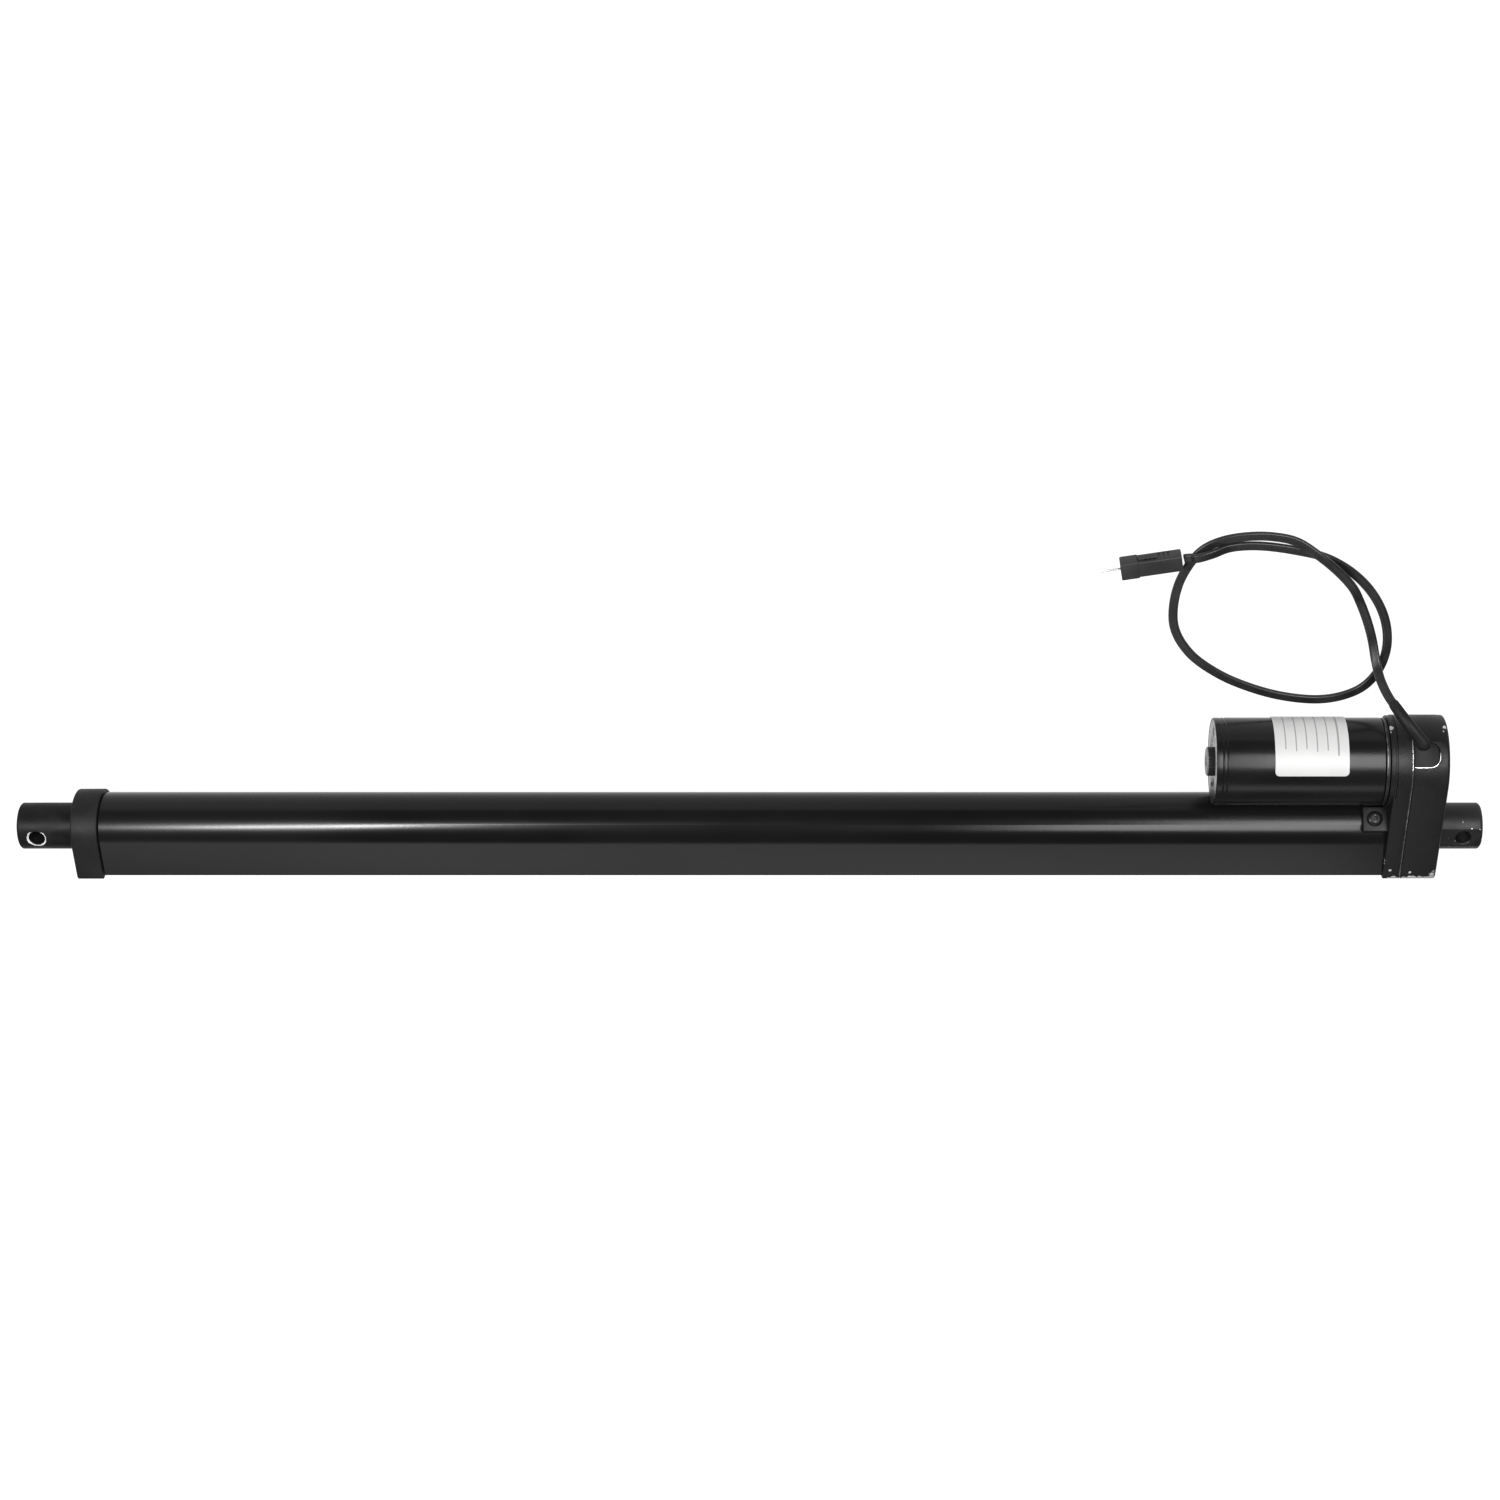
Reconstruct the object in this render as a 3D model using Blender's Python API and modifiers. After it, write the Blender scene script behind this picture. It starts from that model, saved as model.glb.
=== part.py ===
"""Linear actuator with a stroke of 508 mm: a motor beside a D-shaped tube turns a lead screw through gears.

Row frame: +X is the way the rod extends, the motor is on the -Y side of the tube, +Z runs along the
cross-pin holes, and the origin is under the middle of the actuator. Sizes are in millimetres and are
turned into Blender's metres by MM. A piece is placed from the axis that it belongs to: its x is the
actuator's own x, and its y and z are counted from that axis.
"""

import math

import bmesh
import bpy
from mathutils import Matrix, Vector

MM = 0.001
GAP = 0.3
MERGE = 0.00001
STEPS = 36
CAN_STEPS = 48
SMALL_STEPS = 20
HOLE_STEPS = 12
ARC_STEP_DEG = 9.0

# Axes of the rod, the motor and the idler gear, as (y, z) in the row frame
MOTOR_OFFSET = 33.6
ROD_AXIS = (18.3, 20.0)
MOTOR_AXIS = (ROD_AXIS[0] - MOTOR_OFFSET, ROD_AXIS[1])
STROKE = 508.0

# Outer tube: half round towards the motor, flat on the base side
TUBE_RADIUS = 14.6
TUBE_BASE = 16.5
TUBE_CORNER = 1.2
TUBE_INNER_CORNER = 0.6
TUBE_WALL = 2.0
TUBE_REAR = -274.6
TUBE_FRONT = 278.7

# Front cap with its guide bush and wiper
CAP_RADIUS = 16.0
CAP_BASE = 17.5
CAP_CORNER = 1.5
CAP_REAR = 279.0
CAP_FRONT = 290.4
CAP_SPIGOT_REAR = 271.0
BUSH_RADIUS = 11.0
WIPER_RADIUS = 12.5
WIPER_REAR = 286.8

# Rod and its solid end
ROD_RADIUS = 10.0
ROD_BORE = 7.0
ROD_REAR = -239.7
ROD_NECK_RADIUS = 8.6
ROD_NECK_REAR = -249.0
ROD_END_REAR = 284.0
ROD_END_SPIGOT = 14.0
ROD_TIP = 315.0
PIN_HOLE_RADIUS = 3.2
PIN_HOLE_REACH = 14.0
FRONT_HOLE_X = 306.7
REAR_HOLE_X = -306.8
EYE_CHAMFER = 1.0

# Lead screw and its bearings
SCREW_RADIUS = 4.5
SCREW_FRONT = 268.6
JOURNAL_RADIUS = 2.4
JOURNAL_REAR = SCREW_FRONT - 5.6
GUIDE_ENDS = (SCREW_FRONT - 0.6, SCREW_FRONT - 5.0)
SCREW_SEAT_REAR = -286.4
SCREW_TAIL_RADIUS = 3.0
SCREW_TAIL_REAR = -292.6
BEARING_FRONT = -264.5
BEARING_REAR = -269.5
BEARING_BORE = 4.0
BEARING_INNER_RADIUS = 5.4
BEARING_CAGE = (6.4, 5.7)
BEARING_OUTER_BORE = 6.7
BEARING_OUTER = 8.0
CAGE_HALF_WIDTH = 1.4
LOCK_RING_WIDTH = 1.2
REAR_BUSH_ENDS = (-290.9, -294.6)
REAR_BUSH_RADIUS = 4.1
RUNNING_GAP = 0.2

# Drive nut, with the ear that presses the limit switches and the pin that holds the rod
NUT_REAR = -260.0
NUT_FRONT = -240.0
NUT_RADIUS = 12.1
EAR_REAR, EAR_FRONT = -259.5, -252.0
EAR_Y = (7.0, 12.5)
EAR_Z = (7.0, 11.2)
NUT_PIN_RADIUS = 1.0
NUT_PIN_ENDS = (11.9, 7.2)

# Gearbox: front housing, cover and rear clevis
HOUSING_RADIUS = 20.0
HOUSING_BASE = 17.5
HOUSING_HALF_WIDTH = 16.0
HOUSING_CORNER = 1.8
COLLAR_FRONT = -272.5
MOTOR_SEAT_FRONT = -270.9
HOUSING_REAR = -280.0
WEB_FRONT = TUBE_REAR - GAP
COVER_FRONT = -280.3
COVER_REAR = -295.5
COVER_WALL = 2.2
HUB_FRONT = -262.3
HUB_RADIUS = TUBE_RADIUS - TUBE_WALL - 0.4
LUG_FRONT = -262.1
LUG_HALF_WIDTH = 5.4
LUG_TOP = 17.2
LUG_BOTTOM = 9.0
LUG_SCREW_X = -267.1
LUG_SCREW_RADIUS = 1.6
LUG_SCREW_BOTTOM = 9.6
LUG_HOLE_RADIUS = 2.0
LUG_HOLE_ENDS = (20.0, 9.2)
LUG_ANGLES = (45.0, 135.0)
SCREW_PASSAGE_RADIUS = 6.2
MOTOR_NOSE_RADIUS = 6.0
COVER_FLOOR_FRONT = -293.2
CLEVIS_RADIUS = 10.0
CLEVIS_FRONT = COVER_REAR - GAP
CLEVIS_REAR = -315.0
CLEVIS_FLAT = 9.0
CLEVIS_STUB_RADIUS = 7.0
CLEVIS_STUB_BORE = 4.4
CLEVIS_STUB_FRONT = -291.0
CLEVIS_FLANGE_RADIUS = 9.0
CLEVIS_FLANGE_REAR = -292.8
CLEVIS_BORE_REAR = -296.0

# Cover screws, as (y, z) from the rod axis
COVER_SCREW_TIP = -275.5
COVER_SCREW_RADIUS = 1.5
BOSS_RADIUS = 3.2
BOSS_REAR = -294.0
HEAD_RADIUS = 2.55
HEAD_HEIGHT = 2.1
HEAD_SOCKET = (1.25, 1.2)
COVER_SCREW_SPOTS = (
    (-MOTOR_OFFSET - 13.8, -9.3),
    (-24.0, -15.9),
    (13.2, 12.2),
    (13.2, -12.2),
)

# Gear train: teeth, module and the centre distances that share out the motor's offset
SCREW_TEETH, IDLER_SMALL_TEETH, SCREW_MODULE = 44, 14, 0.6
IDLER_BIG_TEETH, PINION_TEETH, MOTOR_MODULE = 52, 12, 0.5
SCREW_TO_IDLER = 17.5
PRESSURE_ANGLE = math.radians(20)
TOOTH_THINNING = 0.06
IDLER_AXIS = (ROD_AXIS[0] - SCREW_TO_IDLER, ROD_AXIS[1])
IDLER_PIN_RADIUS = 1.5
IDLER_PIN_ENDS = (-278.6, -293.0)
IDLER_BOSS_RADIUS = 3.4
IDLER_BOSS_FRONT = -290.8
SCREW_GEAR_ENDS = (-281.2, -286.0)
IDLER_SMALL_ENDS = (-280.9, -288.0)
IDLER_BIG_ENDS = (-287.0, -290.4)
PINION_ENDS = (-286.4, -291.0)

# Motor
CAN_RADIUS = 18.7
CAN_WALL = 1.5
CAN_FRONT = -198.4
CAN_REAR = -268.9
FLANGE_REAR = -270.6
END_PLATE_RADIUS = 18.3
END_PLATE_FRONT = -197.6
END_PLATE_REAR = -200.5
END_PLATE_BEVEL = 0.25
BOSS_FRONT = -193.9
BOSS_CAP_RADIUS = 6.2
SHAFT_RADIUS = 1.6
SHAFT_ENDS = (BOSS_FRONT - 2.4, -291.2)
CORE_RADIUS = 12.7
CORE_POLES = 8
CORE_ENDS = (-214.0, -248.0)
CORE_SLOT_ROOT, CORE_TOOTH_BASE, CORE_TOOTH_LIP = 6.5, 11.0, 11.2
WINDING_FRONTS = (-207.7, -248.3)
WINDING_LENGTH, WINDING_BORE, WINDING_RADIUS = 6.0, 5.0, 11.8
MAGNET_ENDS = (-210.0, -254.0)
MAGNET_BORE, MAGNET_ARC_DEG = 13.4, 140.0
MAGNET_STARTS_DEG = (20.0, 200.0)
COMMUTATOR_ENDS = (-255.2, -262.6)
COMMUTATOR_RADIUS = 5.6
BRUSH_ENDS = (-256.4, -261.6)
BRUSH_REACH = (5.9, 11.0)
BRUSH_HALF_HEIGHT = 2.0
CARD_ENDS = (-263.6, -265.4)
CARD_BORE = 4.4
PLATE_BORE = 3.5
CAP_NECK_RADIUS = 3.1
CAP_NECK_LENGTH = 2.4
MOTOR_BUSH_RADIUS = 3.6
MOTOR_SCREW_OFFSET = 12.0
MOTOR_SCREW_RADIUS = 1.3
MOTOR_SCREW_HOLE = 1.6
MOTOR_SCREW_TIP = -266.2
MOTOR_SCREW_HEAD = (2.6, 2.0)
LABEL_RADIUS, LABEL_THICKNESS = CAN_RADIUS + 0.22, 0.2
LABEL_FRONT, LABEL_REAR = -222.1, -253.2
LABEL_START_DEG, LABEL_END_DEG = 15.0, 130.0

# Cord pocket in the cover, as angles round the motor axis from +Z towards -Y
POCKET_REAR = -291.2
POCKET_MIDDLE_DEG = 42.5
POCKET_HALF_WIDTH = 5.4
POCKET_CORNER = 4.3
GROMMET_TOP = 18.3
GROMMET_BOTTOM = 13.6
GROMMET_NOSE_RADIUS = 2.5
GROMMET_NOSE_START = (-284.6, -27.6, 31.5)
LEAD_RADIUS = 0.7
LEAD_OFFSET = 10.8
LEAD_ANGLES = (36.0, 50.0)

# Limit switches in the tube's corner
SWITCH_LENGTH = 9.0
SWITCH_Y = (9.4, 13.2)
SWITCH_Z = (8.4, 11.9)
PLUNGER_RADIUS = 0.8
PLUNGER_OUT = 1.5
PLUNGER_IN = 1.4
BOARD_Y = (13.0, 13.7)
BOARD_Z = (-4.0, 8.1)

# Power cord: its route as (x, y, z) in the row frame, from the grommet to the connector
CORD_RADIUS = 1.8
CORD_POINT_SPACING = 9.0
CORD_ROUTE = (
    (-284.1, -33.2, 33.1),
    (-278.0, -39.8, 30.4),
    (-273.4, -44.2, 25.2),
    (-269.9, -46.9, 18.5),
    (-267.2, -50.9, 11.5),
    (-265.6, -56.2, 5.4),
    (-263.7, -64.9, 2.0),
    (-260.8, -74.0, 1.9),
    (-257.0, -83.4, 2.8),
    (-252.6, -92.4, 5.3),
    (-246.0, -100.2, 5.9),
    (-237.8, -107.4, 5.7),
    (-228.4, -112.8, 3.0),
    (-218.4, -114.7, 1.9),
    (-207.8, -114.8, 1.9),
    (-197.6, -112.8, 1.9),
    (-189.6, -108.4, 1.9),
    (-184.4, -101.2, 1.9),
    (-180.6, -92.0, 1.9),
    (-179.0, -81.0, 1.9),
    (-180.0, -70.6, 1.9),
    (-184.8, -61.0, 1.9),
    (-192.8, -52.6, 1.9),
    (-206.6, -43.9, 1.9),
    (-225.4, -37.0, 1.9),
    (-244.2, -34.8, 1.9),
    (-258.6, -38.8, 1.9),
    (-266.8, -47.4, 1.9),
    (-270.2, -60.0, 1.9),
    (-268.6, -73.4, 1.9),
    (-262.8, -86.0, 1.9),
    (-253.6, -96.6, 1.9),
    (-241.6, -104.4, 1.9),
    (-228.0, -108.2, 1.9),
    (-213.4, -110.3, 1.9),
    (-201.6, -109.9, 2.4),
    (-193.6, -108.3, 5.1),
    (-187.4, -106.6, 5.7),
    (-184.6, -106.0, 4.3),
    (-181.9, -105.3, 3.6),
)
CONNECTOR_START = (-181.1, -105.0)
CONNECTOR_HEADING_DEG = 9.6
CONNECTOR_LENGTH = 25.6
CONNECTOR_WIDTH = 7.2
CONNECTOR_HEIGHT = 7.0
CONNECTOR_LATCH = ((11.0, 18.5), (-4.5, -2.6), (2.0, 5.0))
CONNECTOR_SOCKET_OFFSET = 2.3
CONNECTOR_PIN_RADIUS = 0.5
CONNECTOR_PIN_LENGTH = 8.3
CONNECTOR_PIN_DEPTH = 5.2


def clear_scene():
    for obj in list(bpy.data.objects):
        bpy.data.objects.remove(obj)


def new_collection(name):
    collection = bpy.data.collections.new(name)
    bpy.context.scene.collection.children.link(collection)
    return collection


clear_scene()
PARTS = new_collection("linear_actuator")
CUTTERS = new_collection("cutters")


def axis_empty(name, y, z):
    """An empty on an axis that runs along X, which the pieces on that axis are placed from."""
    empty = bpy.data.objects.new(name, None)
    empty.location = (0, y * MM, z * MM)
    PARTS.objects.link(empty)
    return empty


ROD = axis_empty("rod_axis", *ROD_AXIS)
MOTOR = axis_empty("motor_axis", *MOTOR_AXIS)
IDLER = axis_empty("idler_axis", *IDLER_AXIS)
FLOOR = axis_empty("floor", 0, 0)


def material(name, colour, roughness, metallic=0.0):
    finish = bpy.data.materials.new(name)
    finish.use_nodes = True
    shader = finish.node_tree.nodes["Principled BSDF"]
    shader.inputs["Base Color"].default_value = (*colour, 1)
    shader.inputs["Roughness"].default_value = roughness
    shader.inputs["Metallic"].default_value = metallic
    return finish


BLACK_PAINT = ("black_paint", (0.018, 0.018, 0.019), 0.38, 0.0)
BLACK_PLASTIC = ("black_plastic", (0.022, 0.022, 0.023), 0.55, 0.0)
RUBBER = ("rubber", (0.02, 0.02, 0.02), 0.7, 0.0)
STEEL = ("steel", (0.55, 0.55, 0.56), 0.35, 1.0)
ZINC = ("zinc", (0.62, 0.62, 0.64), 0.45, 1.0)
BRONZE = ("bronze", (0.50, 0.33, 0.16), 0.4, 1.0)
COPPER = ("copper", (0.55, 0.25, 0.12), 0.35, 1.0)
NYLON = ("nylon", (0.75, 0.73, 0.68), 0.5, 0.0)
MAGNET = ("magnet", (0.10, 0.10, 0.11), 0.6, 0.2)
LABEL = ("label", (0.85, 0.85, 0.84), 0.45, 0.0)
BOARD = ("board", (0.05, 0.20, 0.09), 0.5, 0.0)


def add_part(name, data, parent, finish):
    """Each piece gets its own object on its axis, with a material of its own."""
    obj = bpy.data.objects.new(name, data)
    obj.parent = parent
    (PARTS if finish else CUTTERS).objects.link(obj)
    if finish:
        data.materials.append(material(name, *finish[1:]))
    else:
        obj.hide_render = True
        obj.display_type = "WIRE"
    return obj


def turned(name, parent, finish, profile, closed=False, spot=(0, 0, 0), tilt=(0, 90, 0), steps=STEPS):
    """A turned profile of (distance along the axis, radius) points, far end first, down its outer side."""
    points = [(radius * MM, 0, along * MM) for along, radius in profile]
    edges = [(i, i + 1) for i in range(len(points) - 1)]
    if closed:
        edges.append((len(points) - 1, 0))
    mesh = bpy.data.meshes.new(name)
    mesh.from_pydata(points, edges, [])
    obj = add_part(name, mesh, parent, finish)
    obj.location = [value * MM for value in spot]
    obj.rotation_euler = [math.radians(angle) for angle in tilt]
    turn = obj.modifiers.new("turn", "SCREW")
    turn.steps = turn.render_steps = steps
    turn.use_merge_vertices = True
    turn.merge_threshold = MERGE
    return obj


def cylinder(name, parent, finish, front, rear, radius, spot=(0, 0, 0), tilt=(0, 90, 0), steps=STEPS):
    """A plain cylinder between two distances along its axis, which runs along X unless it is tilted."""
    work = bmesh.new()
    middle = Matrix.Translation((0, 0, (front + rear) / 2 * MM))
    sizes = {"radius1": radius * MM, "radius2": radius * MM, "depth": abs(front - rear) * MM}
    bmesh.ops.create_cone(work, cap_ends=True, segments=steps, matrix=middle, **sizes)
    mesh = bpy.data.meshes.new(name)
    work.to_mesh(mesh)
    work.free()
    obj = add_part(name, mesh, parent, finish)
    obj.location = [value * MM for value in spot]
    obj.rotation_euler = [math.radians(angle) for angle in tilt]
    return obj


def ring(name, parent, finish, front, rear, outer, inner, **options):
    profile = [(front, inner), (front, outer), (rear, outer), (rear, inner)]
    return turned(name, parent, finish, profile, closed=True, **options)


def as_mesh(curve_object, parent, finish):
    """A curve object as a welded mesh object, so that it can be cut."""
    bpy.context.view_layer.update()
    shape = curve_object.evaluated_get(bpy.context.evaluated_depsgraph_get())
    mesh = bpy.data.meshes.new_from_object(shape)
    mesh.materials.clear()
    work = bmesh.new()
    work.from_mesh(mesh)
    bmesh.ops.remove_doubles(work, verts=work.verts, dist=MERGE)
    bmesh.ops.recalc_face_normals(work, faces=work.faces)
    work.to_mesh(mesh)
    work.free()
    name, place = curve_object.name, curve_object.matrix_world.copy()
    curve = curve_object.data
    bpy.data.objects.remove(curve_object)
    bpy.data.curves.remove(curve)
    obj = add_part(name, mesh, parent, finish)
    obj.matrix_parent_inverse = parent.matrix_world.inverted()
    obj.matrix_basis = place
    return obj


def extruded(name, parent, finish, outlines, front, rear):
    """Flat outlines of (y, z) points, the first one outside and the others its holes, carried along X."""
    curve = bpy.data.curves.new(name, "CURVE")
    curve.dimensions = "2D"
    curve.fill_mode = "BOTH"
    curve.extrude = abs(front - rear) / 2 * MM
    for outline in outlines:
        spline = curve.splines.new("POLY")
        spline.points.add(len(outline) - 1)
        for point, (y, z) in zip(spline.points, outline):
            point.co = (y * MM, z * MM, 0, 1)
        spline.use_cyclic_u = True
    flat = bpy.data.objects.new(name, curve)
    flat.parent = parent
    CUTTERS.objects.link(flat)
    flat.location = ((front + rear) / 2 * MM, 0, 0)
    flat.rotation_euler = Matrix(((0, 0, 1), (1, 0, 0), (0, 1, 0))).to_euler()
    return as_mesh(flat, parent, finish)


def box(name, parent, finish, x_range, y_range, z_range, turn_deg=0.0):
    """A plain box, turned about its parent's X axis."""
    ranges = (x_range, y_range, z_range)
    middle = [sum(pair) / 2 * MM for pair in ranges]
    size = [abs(pair[1] - pair[0]) * MM for pair in ranges]
    work = bmesh.new()
    place = Matrix.Translation(middle) @ Matrix.Diagonal((*size, 1))
    bmesh.ops.create_cube(work, size=1, matrix=place)
    mesh = bpy.data.meshes.new(name)
    work.to_mesh(mesh)
    work.free()
    obj = add_part(name, mesh, parent, finish)
    obj.rotation_euler = (math.radians(turn_deg), 0, 0)
    return obj


def change(target, tool, operation):
    modifier = target.modifiers.new(tool.name, "BOOLEAN")
    modifier.operation = operation
    modifier.object = tool


def cut(target, *tools):
    for tool in tools:
        change(target, tool, "DIFFERENCE")


def join(target, *tools):
    for tool in tools:
        change(target, tool, "UNION")


def hull_outline(circles, step_deg=ARC_STEP_DEG):
    """The belt line round circles (y, z, radius), listed anticlockwise: arcs with tangents between them."""
    following = circles[1:] + circles[:1]
    normals = []
    for (y, z, radius), (next_y, next_z, next_radius) in zip(circles, following):
        heading = math.atan2(next_z - z, next_y - y)
        distance = math.hypot(next_y - y, next_z - z)
        normals.append(heading - math.acos((radius - next_radius) / distance))
    outline = []
    for (y, z, radius), start, end in zip(circles, normals[-1:] + normals[:-1], normals):
        sweep = (end - start) % (2 * math.pi)
        count = max(1, round(math.degrees(sweep) / step_deg))
        for i in range(count + 1):
            angle = start + sweep * i / count
            outline.append((y + radius * math.cos(angle), z + radius * math.sin(angle)))
    return outline


def d_outline(radius, base, corner):
    """The tube's section: half round towards -Y, with two round corners at the flat base."""
    side = radius - corner
    return hull_outline([(0, 0, radius), (base - corner, -side, corner), (base - corner, side, corner)])


def housing_outline(inset=0.0):
    """The gearbox's section, from the rod axis: round at the motor and narrower at the flat base."""
    corner = max(HOUSING_CORNER - inset, 0.6)
    base = HOUSING_BASE - inset - corner
    side = HOUSING_HALF_WIDTH - inset - corner
    motor = (-MOTOR_OFFSET, 0, HOUSING_RADIUS - inset)
    return hull_outline([motor, (base, -side, corner), (base, side, corner)])


def circle_outline(radius, step_deg=10.0):
    count = round(360 / step_deg)
    angles = [2 * math.pi * i / count for i in range(count)]
    return [(radius * math.cos(angle), radius * math.sin(angle)) for angle in angles]


def arc_outline(inner, outer, start_deg, end_deg, step_deg=ARC_STEP_DEG):
    """A curved strip between two radii, with angles counted from +Z towards -Y."""
    count = round((end_deg - start_deg) / step_deg)
    angles = [math.radians(start_deg + (end_deg - start_deg) * i / count) for i in range(count + 1)]
    outside = [(-outer * math.sin(angle), outer * math.cos(angle)) for angle in angles]
    inside = [(-inner * math.sin(angle), inner * math.cos(angle)) for angle in reversed(angles)]
    return outside + inside


def gear_outline(teeth, module, tooth_deg):
    """An involute spur gear's outline, with one tooth's middle at tooth_deg from +Y towards +Z."""
    pitch_radius = teeth * module / 2
    base_radius = pitch_radius * math.cos(PRESSURE_ANGLE)
    tip_radius = pitch_radius + module
    root_radius = pitch_radius - 1.25 * module

    def half_angle(radius):
        """Half of the tooth's angle at a radius, from the involute that starts on the base circle."""
        at_pitch = math.pi / (2 * teeth) - TOOTH_THINNING / (2 * pitch_radius)
        flare = math.acos(min(1.0, base_radius / radius))
        involute = math.tan(flare) - flare
        return at_pitch + math.tan(PRESSURE_ANGLE) - PRESSURE_ANGLE - involute

    lowest = max(root_radius, base_radius)
    flank = [lowest, tip_radius]
    outline = []
    for tooth in range(teeth):
        middle = math.radians(tooth_deg) + 2 * math.pi * tooth / teeth
        side = [(root_radius, half_angle(lowest) + 0.02)] + [(r, half_angle(r)) for r in flank]
        whole = [(r, middle - a) for r, a in side] + [(r, middle + a) for r, a in reversed(side)]
        outline += [(r * math.cos(angle), r * math.sin(angle)) for r, angle in whole]
    return outline


def smooth_route(points, spacing):
    """Points every spacing along the smooth curve that passes through the given points."""
    spots = [Vector(point) for point in points]
    spots = [2 * spots[0] - spots[1]] + spots + [2 * spots[-1] - spots[-2]]
    fine = []
    for a, b, c, d in zip(spots, spots[1:], spots[2:], spots[3:]):
        for i in range(20):
            t = i / 20
            bend = (2 * a - 5 * b + 4 * c - d) * t * t + (3 * b - a - 3 * c + d) * t**3
            fine.append(b + ((c - a) * t + bend) / 2)
    fine.append(spots[-2])
    length = sum((b - a).length for a, b in zip(fine, fine[1:]))
    count = round(length / spacing)
    route, walked = [fine[0]], 0.0
    for a, b in zip(fine, fine[1:]):
        walked += (b - a).length
        if walked >= len(route) * length / count and len(route) < count:
            route.append(b)
    return route + [fine[-1]]


def wire(name, finish, points, radius, resolution=2):
    curve = bpy.data.curves.new(name, "CURVE")
    curve.dimensions = "3D"
    curve.bevel_depth = radius * MM
    curve.bevel_resolution = resolution
    curve.use_fill_caps = True
    spline = curve.splines.new("POLY")
    spline.points.add(len(points) - 1)
    for point, place in zip(spline.points, points):
        point.co = (*(Vector(place) * MM), 1)
    return add_part(name, curve, FLOOR, finish)


def build_tube_and_cap():
    inner = d_outline(TUBE_RADIUS - TUBE_WALL, TUBE_BASE - TUBE_WALL, TUBE_INNER_CORNER)
    outer = d_outline(TUBE_RADIUS, TUBE_BASE, TUBE_CORNER)
    tube = extruded("outer_tube", ROD, BLACK_PAINT, [outer, inner], TUBE_FRONT, TUBE_REAR)
    for angle in LUG_ANGLES:
        cut(tube, lug_hole(f"tube_screw_hole_{angle:.0f}", angle))

    cap = extruded(
        "front_end_cap",
        ROD,
        BLACK_PLASTIC,
        [d_outline(CAP_RADIUS, CAP_BASE, CAP_CORNER)],
        CAP_FRONT,
        CAP_REAR,
    )
    fit = TUBE_WALL + GAP
    spigot_outline = d_outline(TUBE_RADIUS - fit, TUBE_BASE - fit, TUBE_INNER_CORNER)
    spigot = extruded("cap_spigot", ROD, None, [spigot_outline], CAP_REAR + 1, CAP_SPIGOT_REAR)
    join(cap, spigot)
    bore = cylinder("cap_bore", ROD, None, CAP_FRONT + 1, CAP_SPIGOT_REAR - 1, BUSH_RADIUS + GAP)
    seat = cylinder("cap_wiper_seat", ROD, None, CAP_FRONT + 1, WIPER_REAR - GAP, WIPER_RADIUS + GAP)
    cut(cap, bore, seat)

    bush_bore = ROD_RADIUS + RUNNING_GAP
    ring("front_guide_bush", ROD, BRONZE, WIPER_REAR - 2 * GAP, CAP_SPIGOT_REAR, BUSH_RADIUS, bush_bore)
    wiper = [
        (CAP_FRONT - 0.6, bush_bore),
        (CAP_FRONT - 0.6, ROD_RADIUS + 1.0),
        (CAP_FRONT - 1.4, WIPER_RADIUS),
        (WIPER_REAR, WIPER_RADIUS),
        (WIPER_REAR, bush_bore),
    ]
    turned("rod_wiper_seal", ROD, RUBBER, wiper, closed=True)


def lug_hole(name, angle):
    """The hole of a lug screw, which runs from outside a lug to inside the tube."""
    places = {"spot": (LUG_SCREW_X, 0, 0), "tilt": (angle, 0, 0), "steps": HOLE_STEPS}
    return cylinder(name, ROD, None, *LUG_HOLE_ENDS, LUG_HOLE_RADIUS, **places)


def build_rod():
    rod = [
        (ROD_END_REAR - GAP, ROD_BORE),
        (ROD_END_REAR - GAP, ROD_RADIUS),
        (ROD_REAR, ROD_RADIUS),
        (ROD_REAR, ROD_NECK_RADIUS),
        (ROD_NECK_REAR, ROD_NECK_RADIUS),
        (ROD_NECK_REAR, ROD_BORE),
    ]
    turned("extension_rod", ROD, BLACK_PAINT, rod, closed=True)

    end = [
        (ROD_TIP, 0),
        (ROD_TIP, ROD_RADIUS - EYE_CHAMFER),
        (ROD_TIP - EYE_CHAMFER, ROD_RADIUS),
        (ROD_END_REAR, ROD_RADIUS),
        (ROD_END_REAR, ROD_BORE - GAP),
        (ROD_END_REAR - ROD_END_SPIGOT, ROD_BORE - GAP),
        (ROD_END_REAR - ROD_END_SPIGOT, 0),
    ]
    rod_end = turned("rod_end", ROD, BLACK_PAINT, end)
    cut(rod_end, pin_hole("front_pin_cutter", FRONT_HOLE_X))


def pin_hole(name, x):
    """A cross-pin hole, which runs along Z through the rod's axis."""
    places = {"spot": (x, 0, 0), "tilt": (0, 0, 0), "steps": SMALL_STEPS}
    return cylinder(name, ROD, None, PIN_HOLE_REACH, -PIN_HOLE_REACH, PIN_HOLE_RADIUS, **places)


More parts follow.
